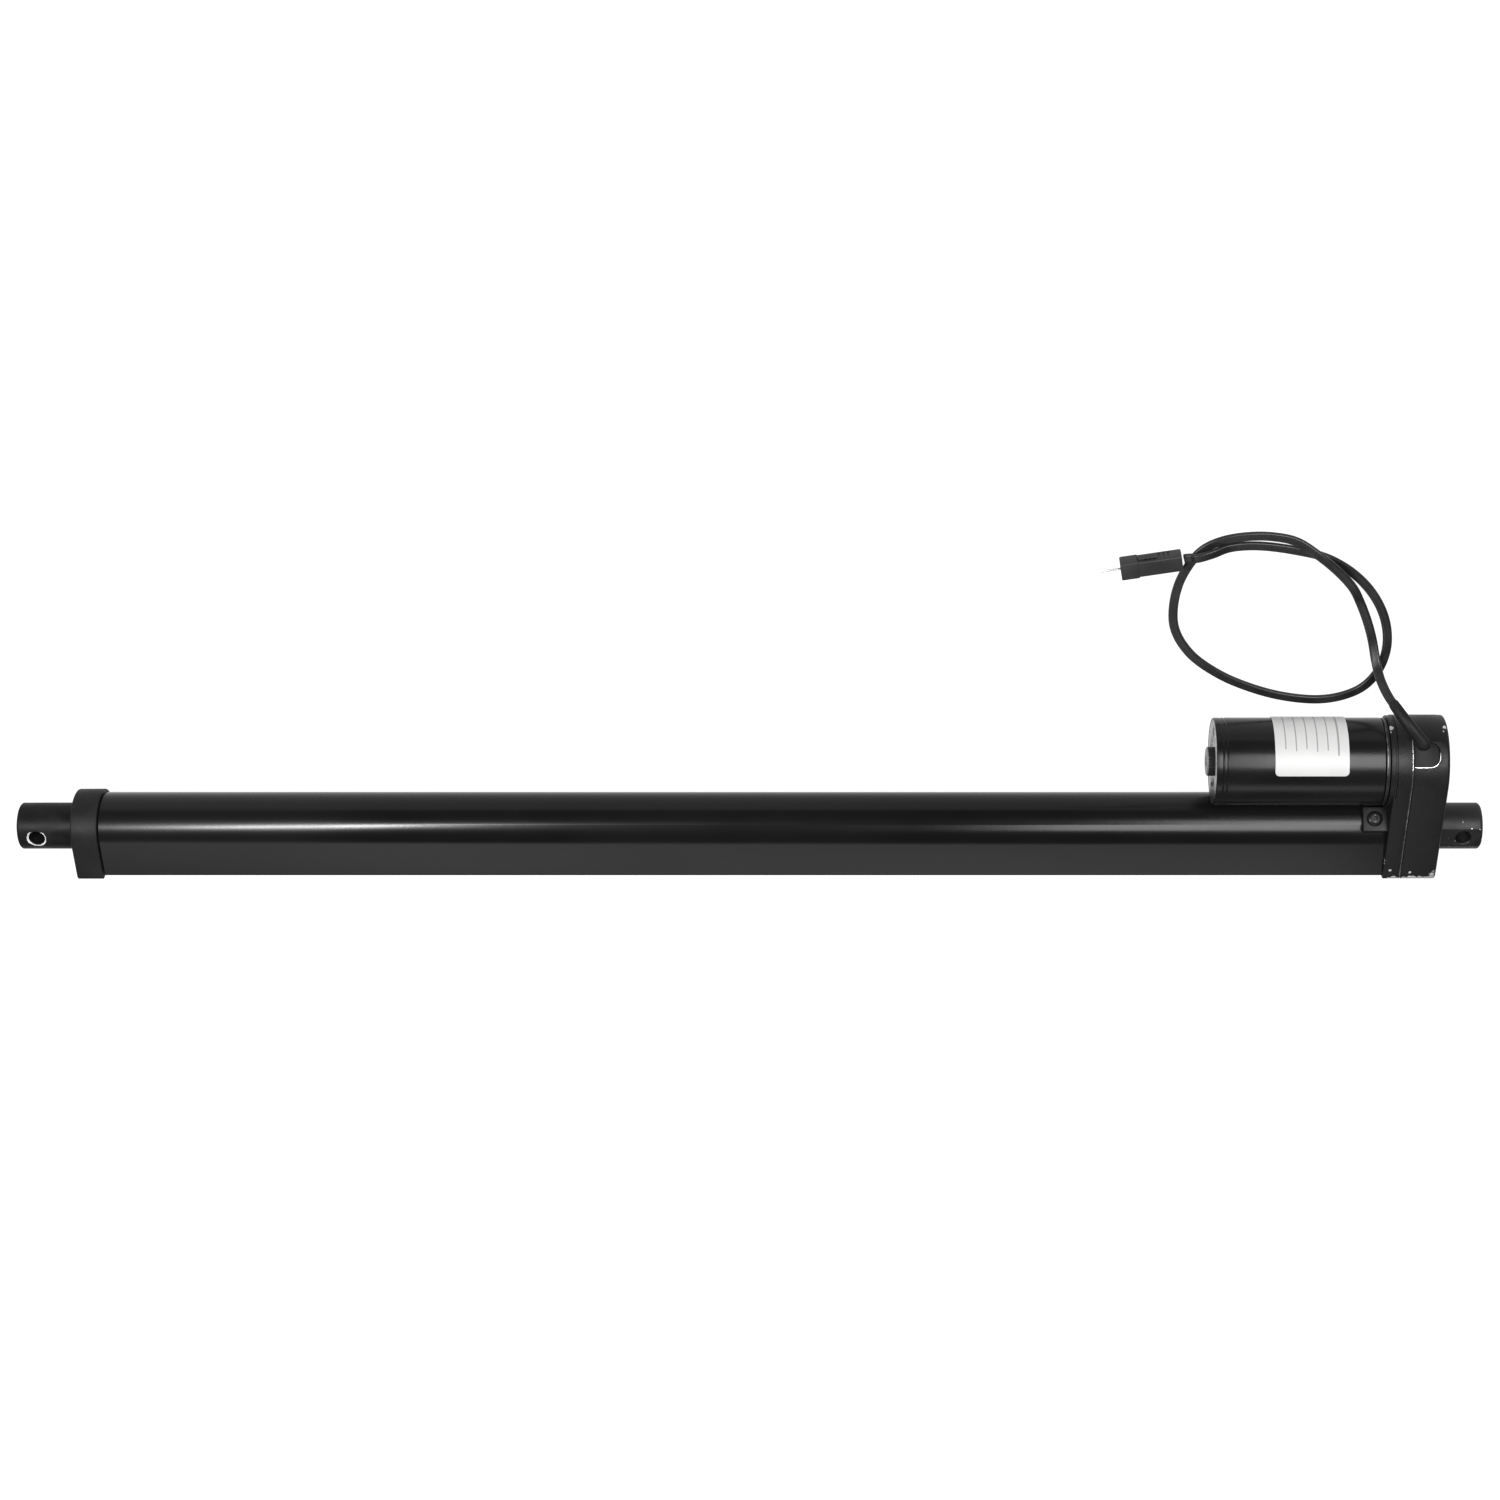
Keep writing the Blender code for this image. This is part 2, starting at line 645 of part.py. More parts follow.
def build_nut():
    nut = [
        (NUT_FRONT, ROD_NECK_RADIUS + GAP),
        (NUT_FRONT, NUT_RADIUS),
        (NUT_REAR, NUT_RADIUS),
        (NUT_REAR, SCREW_RADIUS + GAP),
        (ROD_NECK_REAR - GAP, SCREW_RADIUS + GAP),
        (ROD_NECK_REAR - GAP, ROD_NECK_RADIUS + GAP),
    ]
    drive_nut = turned("drive_nut", ROD, NYLON, nut, closed=True)
    join(drive_nut, box("nut_ear", ROD, None, (EAR_REAR, EAR_FRONT), EAR_Y, EAR_Z))
    places = {"spot": ((NUT_FRONT + ROD_NECK_REAR) / 2, 0, 0), "tilt": (0, 0, 0), "steps": HOLE_STEPS}
    high, low = NUT_PIN_ENDS
    hole = cylinder("nut_pin_hole", ROD, None, high + 1, low - 1, NUT_PIN_RADIUS + GAP, **places)
    cut(drive_nut, hole)
    cut(bpy.data.objects["extension_rod"], hole)
    cylinder("nut_pin", ROD, STEEL, high, low, NUT_PIN_RADIUS, **places)


def build_screw():
    screw = [
        (SCREW_FRONT, 0),
        (SCREW_FRONT, JOURNAL_RADIUS),
        (JOURNAL_REAR, JOURNAL_RADIUS),
        (JOURNAL_REAR, SCREW_RADIUS),
        (BEARING_FRONT + GAP, SCREW_RADIUS),
        (BEARING_FRONT + GAP, BEARING_BORE - GAP),
        (SCREW_SEAT_REAR, BEARING_BORE - GAP),
        (SCREW_SEAT_REAR, SCREW_TAIL_RADIUS),
        (SCREW_TAIL_REAR, SCREW_TAIL_RADIUS),
        (SCREW_TAIL_REAR, 0),
    ]
    turned("lead_screw", ROD, STEEL, screw, steps=SMALL_STEPS)

    middle = (BEARING_FRONT + BEARING_REAR) / 2
    cage = (middle + CAGE_HALF_WIDTH, middle - CAGE_HALF_WIDTH)
    bearing = (BEARING_FRONT, BEARING_REAR)
    lock_ring = (BEARING_REAR - GAP, BEARING_REAR - GAP - LOCK_RING_WIDTH)
    rings = (
        ("screw_front_guide", NYLON, GUIDE_ENDS, ROD_BORE - 0.4, JOURNAL_RADIUS + GAP),
        ("bearing_inner_race", STEEL, bearing, BEARING_INNER_RADIUS, BEARING_BORE),
        ("bearing_outer_race", STEEL, bearing, BEARING_OUTER, BEARING_OUTER_BORE),
        ("bearing_ball_cage", BRONZE, cage, *BEARING_CAGE),
        ("bearing_lock_ring", STEEL, lock_ring, BEARING_INNER_RADIUS, BEARING_BORE),
        ("screw_rear_bush", BRONZE, REAR_BUSH_ENDS, REAR_BUSH_RADIUS, SCREW_TAIL_RADIUS + RUNNING_GAP),
    )
    for name, finish, (front, rear), outer, inner in rings:
        ring(name, ROD, finish, front, rear, outer, inner, steps=SMALL_STEPS)

    tooth_towards_idler = 180.0
    outline = gear_outline(SCREW_TEETH, SCREW_MODULE, tooth_towards_idler)
    extruded("screw_gear", ROD, NYLON, [outline, circle_outline(BEARING_BORE)], *SCREW_GEAR_ENDS)


def build_idler():
    gap_towards_screw = 180.0 / IDLER_SMALL_TEETH
    small = gear_outline(IDLER_SMALL_TEETH, SCREW_MODULE, gap_towards_screw)
    big = gear_outline(IDLER_BIG_TEETH, MOTOR_MODULE, 180.0)
    idler = extruded("compound_gear", IDLER, NYLON, [big], *IDLER_BIG_ENDS)
    join(idler, extruded("compound_small_gear", IDLER, None, [small], *IDLER_SMALL_ENDS))
    bore_ends = (IDLER_SMALL_ENDS[0] + 1, IDLER_BIG_ENDS[1] - 1)
    cut(idler, cylinder("compound_bore", IDLER, None, *bore_ends, IDLER_PIN_RADIUS + GAP, steps=SMALL_STEPS))
    cylinder("idler_pin", IDLER, STEEL, *IDLER_PIN_ENDS, IDLER_PIN_RADIUS, steps=SMALL_STEPS)


def build_motor():
    can_bore = CAN_RADIUS - CAN_WALL
    ring("motor_can", MOTOR, BLACK_PAINT, CAN_FRONT, CAN_REAR, CAN_RADIUS, can_bore, steps=CAN_STEPS)
    inside = can_bore - GAP
    end_plate = [
        (END_PLATE_FRONT, PLATE_BORE),
        (END_PLATE_FRONT, END_PLATE_RADIUS - END_PLATE_BEVEL),
        (END_PLATE_FRONT - END_PLATE_BEVEL, END_PLATE_RADIUS),
        (CAN_FRONT + GAP, END_PLATE_RADIUS),
        (CAN_FRONT + GAP, inside),
        (END_PLATE_REAR, inside),
        (END_PLATE_REAR, PLATE_BORE),
    ]
    turned("motor_end_plate", MOTOR, ZINC, end_plate, closed=True, steps=CAN_STEPS)
    shaft_bore = SHAFT_RADIUS + RUNNING_GAP
    bearing_cap = [
        (BOSS_FRONT, 0),
        (BOSS_FRONT, BOSS_CAP_RADIUS - 0.6),
        (BOSS_FRONT - 0.6, BOSS_CAP_RADIUS),
        (END_PLATE_FRONT + GAP, BOSS_CAP_RADIUS),
        (END_PLATE_FRONT + GAP, CAP_NECK_RADIUS),
        (END_PLATE_REAR - CAP_NECK_LENGTH, CAP_NECK_RADIUS),
        (END_PLATE_REAR - CAP_NECK_LENGTH, shaft_bore),
        (BOSS_FRONT - 2.0, shaft_bore),
        (BOSS_FRONT - 2.0, 0),
    ]
    turned("motor_bearing_cap", MOTOR, BLACK_PLASTIC, bearing_cap, steps=SMALL_STEPS)

    flange_bore = MOTOR_BUSH_RADIUS + GAP
    flange_ends = (CAN_REAR - GAP, FLANGE_REAR)
    flange = ring("motor_flange", MOTOR, BLACK_PAINT, *flange_ends, CAN_RADIUS, flange_bore, steps=CAN_STEPS)
    card = ring("brush_card", MOTOR, BLACK_PLASTIC, *CARD_ENDS, inside, CARD_BORE, steps=SMALL_STEPS)
    for side in (-1, 1):
        hole = motor_screw_hole(f"flange_hole_{side}", side)
        cut(flange, hole)
        cut(card, hole)
    bush_ends = (CAN_REAR + 1.2, FLANGE_REAR)
    ring("motor_rear_bush", MOTOR, BRONZE, *bush_ends, MOTOR_BUSH_RADIUS, shaft_bore, steps=SMALL_STEPS)

    for number, start in enumerate(MAGNET_STARTS_DEG, 1):
        outline = arc_outline(MAGNET_BORE, inside, start, start + MAGNET_ARC_DEG)
        extruded(f"motor_magnet_{number}", MOTOR, MAGNET, [outline], *MAGNET_ENDS)
    for number, side in ((1, -1), (2, 1)):
        reach = sorted(side * distance for distance in BRUSH_REACH)
        height = (-BRUSH_HALF_HEIGHT, BRUSH_HALF_HEIGHT)
        box(f"motor_brush_{number}", MOTOR, MAGNET, BRUSH_ENDS, reach, height)

    label = arc_outline(LABEL_RADIUS, LABEL_RADIUS + LABEL_THICKNESS, LABEL_START_DEG, LABEL_END_DEG)
    extruded("rating_label", MOTOR, LABEL, [label], LABEL_FRONT, LABEL_REAR)


def motor_screw_hole(name, side):
    """The hole of a motor screw, which runs along X from the brush card to inside the gearbox."""
    places = {"spot": (0, 0, side * MOTOR_SCREW_OFFSET), "steps": HOLE_STEPS}
    return cylinder(name, MOTOR, None, CARD_ENDS[0] + 1, HOUSING_REAR - 1, MOTOR_SCREW_HOLE, **places)


def build_rotor():
    cylinder("rotor_shaft", MOTOR, STEEL, *SHAFT_ENDS, SHAFT_RADIUS, steps=SMALL_STEPS)
    pitch = 2 * math.pi / CORE_POLES
    tooth = (
        (CORE_SLOT_ROOT, 0.36),
        (CORE_TOOTH_BASE, 0.14),
        (CORE_TOOTH_LIP, 0.44),
        (CORE_RADIUS, 0.44),
        (CORE_RADIUS, 0.2),
    )
    slotted = []
    for pole in range(CORE_POLES):
        middle = pole * pitch
        slotted += [(radius, middle - share * pitch) for radius, share in tooth]
        slotted.append((CORE_RADIUS, middle))
        slotted += [(radius, middle + share * pitch) for radius, share in reversed(tooth)]
    outline = [(radius * math.cos(angle), radius * math.sin(angle)) for radius, angle in slotted]
    bore = circle_outline(SHAFT_RADIUS + GAP, 15.0)
    extruded("armature_core", MOTOR, STEEL, [outline, bore], *CORE_ENDS)
    for name, front in zip(("armature_winding_front", "armature_winding_rear"), WINDING_FRONTS):
        coil = [
            (front, WINDING_BORE),
            (front - 0.4, WINDING_RADIUS - 2.3),
            (front - 2.0, WINDING_RADIUS - 0.4),
            (front - 4.0, WINDING_RADIUS),
            (front - WINDING_LENGTH, WINDING_RADIUS - 0.4),
            (front - WINDING_LENGTH, WINDING_BORE),
        ]
        turned(name, MOTOR, COPPER, coil, closed=True, steps=SMALL_STEPS)
    brush_track = (COMMUTATOR_RADIUS, SHAFT_RADIUS + GAP)
    ring("commutator", MOTOR, COPPER, *COMMUTATOR_ENDS, *brush_track, steps=SMALL_STEPS)
    pinion = gear_outline(PINION_TEETH, MOTOR_MODULE, 180.0 / PINION_TEETH)
    bore = circle_outline(SHAFT_RADIUS + 0.15, 15.0)
    extruded("motor_pinion", MOTOR, STEEL, [pinion, bore], *PINION_ENDS)


def build_housing():
    """The gearbox's front half: collar and lugs on the tube, hub for the bearing, seat for the motor."""
    housing = extruded("gearbox_housing", ROD, BLACK_PAINT, [housing_outline()], COLLAR_FRONT, HOUSING_REAR)
    spot = (0, -MOTOR_OFFSET, 0)
    seat_ends = (MOTOR_SEAT_FRONT, COLLAR_FRONT - 1)
    seat = cylinder("housing_motor_seat", ROD, None, *seat_ends, HOUSING_RADIUS, spot=spot)
    lugs = []
    for angle in LUG_ANGLES:
        side = (-LUG_HALF_WIDTH, LUG_HALF_WIDTH)
        name = f"housing_lug_{angle:.0f}"
        lugs.append(box(name, ROD, None, (LUG_FRONT, COLLAR_FRONT - 1), side, (LUG_BOTTOM, LUG_TOP), angle))
    join(housing, seat, *lugs)

    socket_outline = d_outline(TUBE_RADIUS + GAP, TUBE_BASE + GAP, TUBE_CORNER)
    cut(housing, extruded("housing_tube_socket", ROD, None, [socket_outline], LUG_FRONT + 2, WEB_FRONT))
    join(housing, cylinder("housing_hub", ROD, None, HUB_FRONT, WEB_FRONT - 1, HUB_RADIUS))

    behind = HOUSING_REAR - 1
    idler_spot = (0, -SCREW_TO_IDLER, 0)
    holes = [
        ("housing_bearing_seat", HUB_FRONT + 1, BEARING_REAR - GAP, BEARING_OUTER + GAP, (0, 0, 0), STEPS),
        ("housing_screw_passage", HUB_FRONT, behind, SCREW_PASSAGE_RADIUS, (0, 0, 0), STEPS),
        ("housing_motor_nose", FLANGE_REAR + 1, behind, MOTOR_NOSE_RADIUS, spot, STEPS),
        ("housing_idler_seat", IDLER_PIN_ENDS[0] + 0.4, behind, IDLER_PIN_RADIUS + GAP, idler_spot, STEPS),
    ]
    for number, (y, z) in enumerate(COVER_SCREW_SPOTS, 1):
        name = f"housing_cover_screw_hole_{number}"
        holes.append((name, COVER_SCREW_TIP + GAP, behind, COVER_SCREW_RADIUS + GAP, (0, y, z), HOLE_STEPS))
    for number, angle in enumerate(LEAD_ANGLES, 1):
        y, z = round_motor(LEAD_OFFSET, angle)
        name = f"housing_lead_hole_{number}"
        place = (0, y - MOTOR_OFFSET, z)
        holes.append((name, FLANGE_REAR + 1, behind, LEAD_RADIUS + 0.4, place, HOLE_STEPS))
    for name, front, rear, radius, place, steps in holes:
        cut(housing, cylinder(name, ROD, None, front, rear, radius, spot=place, steps=steps))
    for side in (-1, 1):
        cut(housing, motor_screw_hole(f"housing_motor_screw_hole_{side}", side))
    for angle in LUG_ANGLES:
        cut(housing, lug_hole(f"housing_lug_hole_{angle:.0f}", angle))


def round_motor(radius, angle_deg):
    """The (y, z) of a spot at a radius from the motor axis, at an angle from +Z towards -Y."""
    angle = math.radians(angle_deg)
    return -radius * math.sin(angle), radius * math.cos(angle)


def pocket_outline(front, inset=0.0):
    """The cord pocket's outline as (x, across) points, with round corners at its rear."""
    half, corner = POCKET_HALF_WIDTH - inset, POCKET_CORNER - inset
    rear = POCKET_REAR + inset
    outline = [(front, half), (front, -half)]
    for centre, start in ((-half + corner, -90.0), (half - corner, -180.0)):
        for i in range(7):
            angle = math.radians(start - 15.0 * i)
            outline.append((rear + corner + corner * math.cos(angle), centre + corner * math.sin(angle)))
    return outline


def radial_block(name, finish, outline, bottom, top):
    """An (x, across) outline raised the way the pocket faces, between two heights off the motor axis."""
    curve = bpy.data.curves.new(name, "CURVE")
    curve.dimensions = "2D"
    curve.fill_mode = "BOTH"
    curve.extrude = (top - bottom) / 2 * MM
    spline = curve.splines.new("POLY")
    spline.points.add(len(outline) - 1)
    for point, (x, across) in zip(spline.points, outline):
        point.co = (x * MM, across * MM, 0, 1)
    spline.use_cyclic_u = True
    flat = bpy.data.objects.new(name, curve)
    flat.parent = MOTOR
    CUTTERS.objects.link(flat)
    y, z = round_motor((top + bottom) / 2, POCKET_MIDDLE_DEG)
    flat.location = (0, y * MM, z * MM)
    flat.rotation_euler = (math.radians(POCKET_MIDDLE_DEG), 0, 0)
    return as_mesh(flat, MOTOR, finish)


def build_cover():
    """The gearbox's rear half: a cup over the gears, with screw bosses and a pocket for the cord."""
    cover = extruded("gearbox_cover", ROD, BLACK_PAINT, [housing_outline()], COVER_FRONT, COVER_REAR)
    cavity_outline = housing_outline(COVER_WALL)
    cut(cover, extruded("cover_cavity", ROD, None, [cavity_outline], COVER_FRONT + 1, COVER_FLOOR_FRONT))
    for number, (y, z) in enumerate(COVER_SCREW_SPOTS, 1):
        places = {"spot": (0, y, z), "steps": SMALL_STEPS}
        boss = cylinder(f"cover_boss_{number}", ROD, None, COVER_FRONT, BOSS_REAR, BOSS_RADIUS, **places)
        join(cover, boss)
    places = {"spot": (0, -SCREW_TO_IDLER, 0), "steps": SMALL_STEPS}
    boss_ends = (IDLER_BOSS_FRONT, BOSS_REAR)
    join(cover, cylinder("cover_idler_boss", ROD, None, *boss_ends, IDLER_BOSS_RADIUS, **places))

    behind = COVER_REAR - 1.5
    inside = CLEVIS_STUB_FRONT + 1
    cut(cover, cylinder("cover_clevis_hole", ROD, None, inside, behind, CLEVIS_STUB_RADIUS + GAP))
    seat_ends = (inside, IDLER_PIN_ENDS[1] - 0.4)
    cut(cover, cylinder("cover_idler_seat", ROD, None, *seat_ends, IDLER_PIN_RADIUS + GAP, **places))
    seat_front = COVER_REAR + HEAD_HEIGHT + GAP
    for number, (y, z) in enumerate(COVER_SCREW_SPOTS, 1):
        spot = (0, y, z)
        hole_radius = COVER_SCREW_RADIUS + GAP
        name = f"cover_screw_hole_{number}"
        hole = cylinder(name, ROD, None, COVER_FRONT + 1.3, behind, hole_radius, spot=spot, steps=HOLE_STEPS)
        name = f"cover_head_seat_{number}"
        seat = cylinder(name, ROD, None, seat_front, behind, HEAD_RADIUS + 0.5, spot=spot, steps=SMALL_STEPS)
        cut(cover, hole, seat)
    cut(cover, radial_block("cover_pocket", None, pocket_outline(COVER_FRONT + 1), 12.0, 24.0))


def build_grommet():
    """The rubber block that fills the pocket, with a round nose that the cord comes out of."""
    outline = pocket_outline(COVER_FRONT - 0.35, inset=0.35)
    grommet = radial_block("cord_grommet", RUBBER, outline, GROMMET_BOTTOM, GROMMET_TOP)
    start, following = Vector(CORD_ROUTE[0]), Vector(CORD_ROUTE[1])
    out = (following - start).normalized()
    nose_route = [GROMMET_NOSE_START, start - out * 2.6, start - out * GAP]
    nose = wire("grommet_nose", RUBBER, nose_route, GROMMET_NOSE_RADIUS, 3)
    join(grommet, as_mesh(nose, FLOOR, None))


def build_clevis():
    clevis = turned(
        "rear_clevis",
        ROD,
        BLACK_PAINT,
        [
            (CLEVIS_BORE_REAR, 0),
            (CLEVIS_BORE_REAR, CLEVIS_STUB_BORE),
            (CLEVIS_STUB_FRONT, CLEVIS_STUB_BORE),
            (CLEVIS_STUB_FRONT, CLEVIS_FLANGE_RADIUS),
            (CLEVIS_FLANGE_REAR, CLEVIS_FLANGE_RADIUS),
            (CLEVIS_FLANGE_REAR, CLEVIS_STUB_RADIUS),
            (CLEVIS_FRONT, CLEVIS_STUB_RADIUS),
            (CLEVIS_FRONT, CLEVIS_RADIUS),
            (CLEVIS_REAR + EYE_CHAMFER, CLEVIS_RADIUS),
            (CLEVIS_REAR, CLEVIS_RADIUS - EYE_CHAMFER),
            (CLEVIS_REAR, 0),
        ],
    )
    cut(clevis, pin_hole("rear_pin_cutter", REAR_HOLE_X))
    for side in (-1, 1):
        low, high = sorted((side * CLEVIS_FLAT, side * (CLEVIS_RADIUS + 2)))
        name = f"clevis_flat_{side}"
        cut(clevis, box(name, ROD, None, (CLEVIS_FRONT - 0.4, CLEVIS_REAR - 1), (-12, 12), (low, high)))


def build_fasteners():
    socket_radius, socket_depth = HEAD_SOCKET
    for number, (y, z) in enumerate(COVER_SCREW_SPOTS, 1):
        head_front = COVER_REAR + HEAD_HEIGHT
        screw = [
            (COVER_SCREW_TIP, 0),
            (COVER_SCREW_TIP, COVER_SCREW_RADIUS),
            (head_front, COVER_SCREW_RADIUS),
            (head_front, HEAD_RADIUS),
            (COVER_REAR, HEAD_RADIUS),
            (COVER_REAR, socket_radius),
            (COVER_REAR + socket_depth, socket_radius),
            (COVER_REAR + socket_depth, 0),
        ]
        turned(f"cover_screw_{number}", ROD, STEEL, screw, spot=(0, y, z), steps=HOLE_STEPS)
    for number, angle in enumerate(LUG_ANGLES, 1):
        button = [
            (LUG_TOP + 0.7, 0),
            (LUG_TOP + 0.7, 1.1),
            (LUG_TOP + 1.9, 1.1),
            (LUG_TOP + 1.9, 2.2),
            (LUG_TOP + 1.3, 3.0),
            (LUG_TOP + GAP, 3.4),
            (LUG_TOP + GAP, LUG_SCREW_RADIUS),
            (LUG_SCREW_BOTTOM, LUG_SCREW_RADIUS),
            (LUG_SCREW_BOTTOM, 0),
        ]
        places = {"spot": (LUG_SCREW_X, 0, 0), "tilt": (angle, 0, 0), "steps": HOLE_STEPS}
        turned(f"lug_screw_{number}", ROD, BLACK_PAINT, button, **places)
    head_radius, head_height = MOTOR_SCREW_HEAD
    head_front = HOUSING_REAR - GAP
    screw = [
        (MOTOR_SCREW_TIP, 0),
        (MOTOR_SCREW_TIP, MOTOR_SCREW_RADIUS),
        (head_front, MOTOR_SCREW_RADIUS),
        (head_front, head_radius),
        (head_front - head_height, head_radius),
        (head_front - head_height, 0),
    ]
    for number, side in ((1, -1), (2, 1)):
        spot = (0, 0, side * MOTOR_SCREW_OFFSET)
        turned(f"motor_screw_{number}", MOTOR, STEEL, screw, spot=spot, steps=HOLE_STEPS)


def build_switches():
    """A strip board along the tube's flat base, with a limit switch at each end for the nut's ear."""
    front_face = EAR_FRONT + STROKE + GAP + PLUNGER_OUT
    rear_face = EAR_REAR - GAP - PLUNGER_OUT
    for name, face, away in (("retract_limit", rear_face, -1), ("extend_limit", front_face, 1)):
        y_middle, z_middle = sum(SWITCH_Y) / 2, sum(SWITCH_Z) / 2
        body_ends = (face, face + away * SWITCH_LENGTH)
        body = box(f"{name}_switch", ROD, BLACK_PLASTIC, body_ends, SWITCH_Y, SWITCH_Z)
        places = {"spot": (0, y_middle, z_middle), "steps": HOLE_STEPS}
        hole_ends = sorted((face - away * 1.0, face + away * (PLUNGER_IN + 1.2)), reverse=True)
        cut(body, cylinder(f"{name}_hole", ROD, None, *hole_ends, PLUNGER_RADIUS + GAP, **places))
        ends = sorted((face - away * PLUNGER_OUT, face + away * PLUNGER_IN), reverse=True)
        cylinder(f"{name}_plunger", ROD, NYLON, *ends, PLUNGER_RADIUS, **places)
    rear_end, front_end = rear_face - SWITCH_LENGTH, front_face + SWITCH_LENGTH
    box("limit_switch_board", ROD, BOARD, (rear_end, front_end), BOARD_Y, BOARD_Z)


def build_cord():
    route = smooth_route(CORD_ROUTE, CORD_POINT_SPACING)
    wire("power_cord", RUBBER, route, CORD_RADIUS)

    for number, angle in enumerate(LEAD_ANGLES, 1):
        motor_y, motor_z = MOTOR_AXIS
        outer_y, outer_z = round_motor(GROMMET_BOTTOM - 1.2, angle)
        run_y, run_z = round_motor(LEAD_OFFSET, angle)
        outer = (motor_y + outer_y, motor_z + outer_z)
        run = (motor_y + run_y, motor_z + run_z)
        middle = ((outer[0] + run[0]) / 2, (outer[1] + run[1]) / 2)
        points = [(-285.4, *outer), (-284.6, *middle), (-283.0, *run), (-278.0, *run), (-271.2, *run)]
        wire(f"motor_lead_{number}", COPPER, points, LEAD_RADIUS)


def build_connector():
    """The plug on the cord's far end: a body with one slim pin, lying on the floor."""
    heading = math.radians(CONNECTOR_HEADING_DEG)
    half = CONNECTOR_WIDTH / 2
    body_outline = [
        (-half, 0),
        (half, 0),
        (half, CONNECTOR_HEIGHT - 0.8),
        (half - 0.8, CONNECTOR_HEIGHT),
        (-half + 0.8, CONNECTOR_HEIGHT),
        (-half, CONNECTOR_HEIGHT - 0.8),
    ]
    place = axis_empty("connector_axis", 0, 0)
    place.location = (CONNECTOR_START[0] * MM, CONNECTOR_START[1] * MM, 0)
    place.rotation_euler = (0, 0, heading)
    bpy.context.view_layer.update()
    body = extruded("connector_body", place, BLACK_PLASTIC, [body_outline], CONNECTOR_LENGTH, 0)
    join(body, box("connector_latch", place, None, *CONNECTOR_LATCH))
    middle = CONNECTOR_HEIGHT / 2
    outside = CONNECTOR_LENGTH + 1
    pin_rear = CONNECTOR_LENGTH - CONNECTOR_PIN_DEPTH
    places = {"spot": (0, 0, middle), "steps": HOLE_STEPS}
    seat_radius = CONNECTOR_PIN_RADIUS + 0.4
    cut(body, cylinder("connector_pin_seat", place, None, outside, pin_rear - 0.4, seat_radius, **places))
    pin_front = CONNECTOR_LENGTH + CONNECTOR_PIN_LENGTH
    cylinder("connector_pin", place, STEEL, pin_front, pin_rear, CONNECTOR_PIN_RADIUS, **places)
    places["spot"] = (0, CONNECTOR_SOCKET_OFFSET, middle)
    cut(body, cylinder("connector_socket", place, None, outside, CONNECTOR_LENGTH - 8.6, 1.1, **places))


build_tube_and_cap()
build_rod()
build_nut()
build_screw()
build_idler()
build_motor()
build_rotor()
build_housing()
build_cover()
build_grommet()
build_clevis()
build_fasteners()
build_switches()
build_cord()
build_connector()
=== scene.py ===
"""Looks of the linear actuator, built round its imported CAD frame.

The frame is in metres: +X is the way the rod extends, the motor is on the -Y side of the tube, and +Z
runs along the cross-pin holes. Sizes here are in millimetres and are turned into metres by MM. A piece
on the rod's or the motor's axis takes its y and z from the frame, and so does every end position.
"""

import math

import bmesh
import bpy
from mathutils import Matrix, Vector


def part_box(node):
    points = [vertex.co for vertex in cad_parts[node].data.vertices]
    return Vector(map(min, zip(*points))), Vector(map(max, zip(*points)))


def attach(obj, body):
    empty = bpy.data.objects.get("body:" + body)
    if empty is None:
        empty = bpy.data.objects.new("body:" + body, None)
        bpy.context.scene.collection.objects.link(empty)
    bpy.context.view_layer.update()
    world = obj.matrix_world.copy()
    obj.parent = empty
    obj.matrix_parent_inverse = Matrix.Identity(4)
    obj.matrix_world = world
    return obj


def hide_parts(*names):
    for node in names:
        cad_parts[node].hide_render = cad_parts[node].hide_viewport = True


MM = 0.001
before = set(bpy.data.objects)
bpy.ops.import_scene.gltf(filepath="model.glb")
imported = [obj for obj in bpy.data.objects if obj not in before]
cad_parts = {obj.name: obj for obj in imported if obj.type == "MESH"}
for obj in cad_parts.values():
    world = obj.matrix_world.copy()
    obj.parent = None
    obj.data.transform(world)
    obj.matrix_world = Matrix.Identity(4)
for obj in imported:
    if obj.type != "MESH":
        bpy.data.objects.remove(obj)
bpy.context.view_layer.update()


def span(node, axis):
    """The lowest and highest coordinate of a CAD node along an axis, in millimetres."""
    low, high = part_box(node)
    return low[axis] / MM, high[axis] / MM


def middle(node):
    """The (y, z) of the middle of a CAD node, in millimetres."""
    low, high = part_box(node)
    return (low[1] + high[1]) / 2 / MM, (low[2] + high[2]) / 2 / MM


def radius_of(node):
    """The radius of a round CAD node whose axis runs along X, in millimetres."""
    low, high = span(node, 1)
    return (high - low) / 2


ROD_AXIS = middle("extension_rod")
MOTOR_AXIS = middle("motor_can")
MOTOR_OFFSET = ROD_AXIS[0] - MOTOR_AXIS[0]


# ---------------------------------------------------------------- camera

CAMERA_PLACE = (-0.0600, -0.7187, 1.0541)
CAMERA_LENS, CAMERA_SHIFT = 70.41, -0.0930
# The sine and cosine of the camera's tilt from straight down, 34 degrees
TILT_SIN, TILT_COS = 0.5592, 0.8290


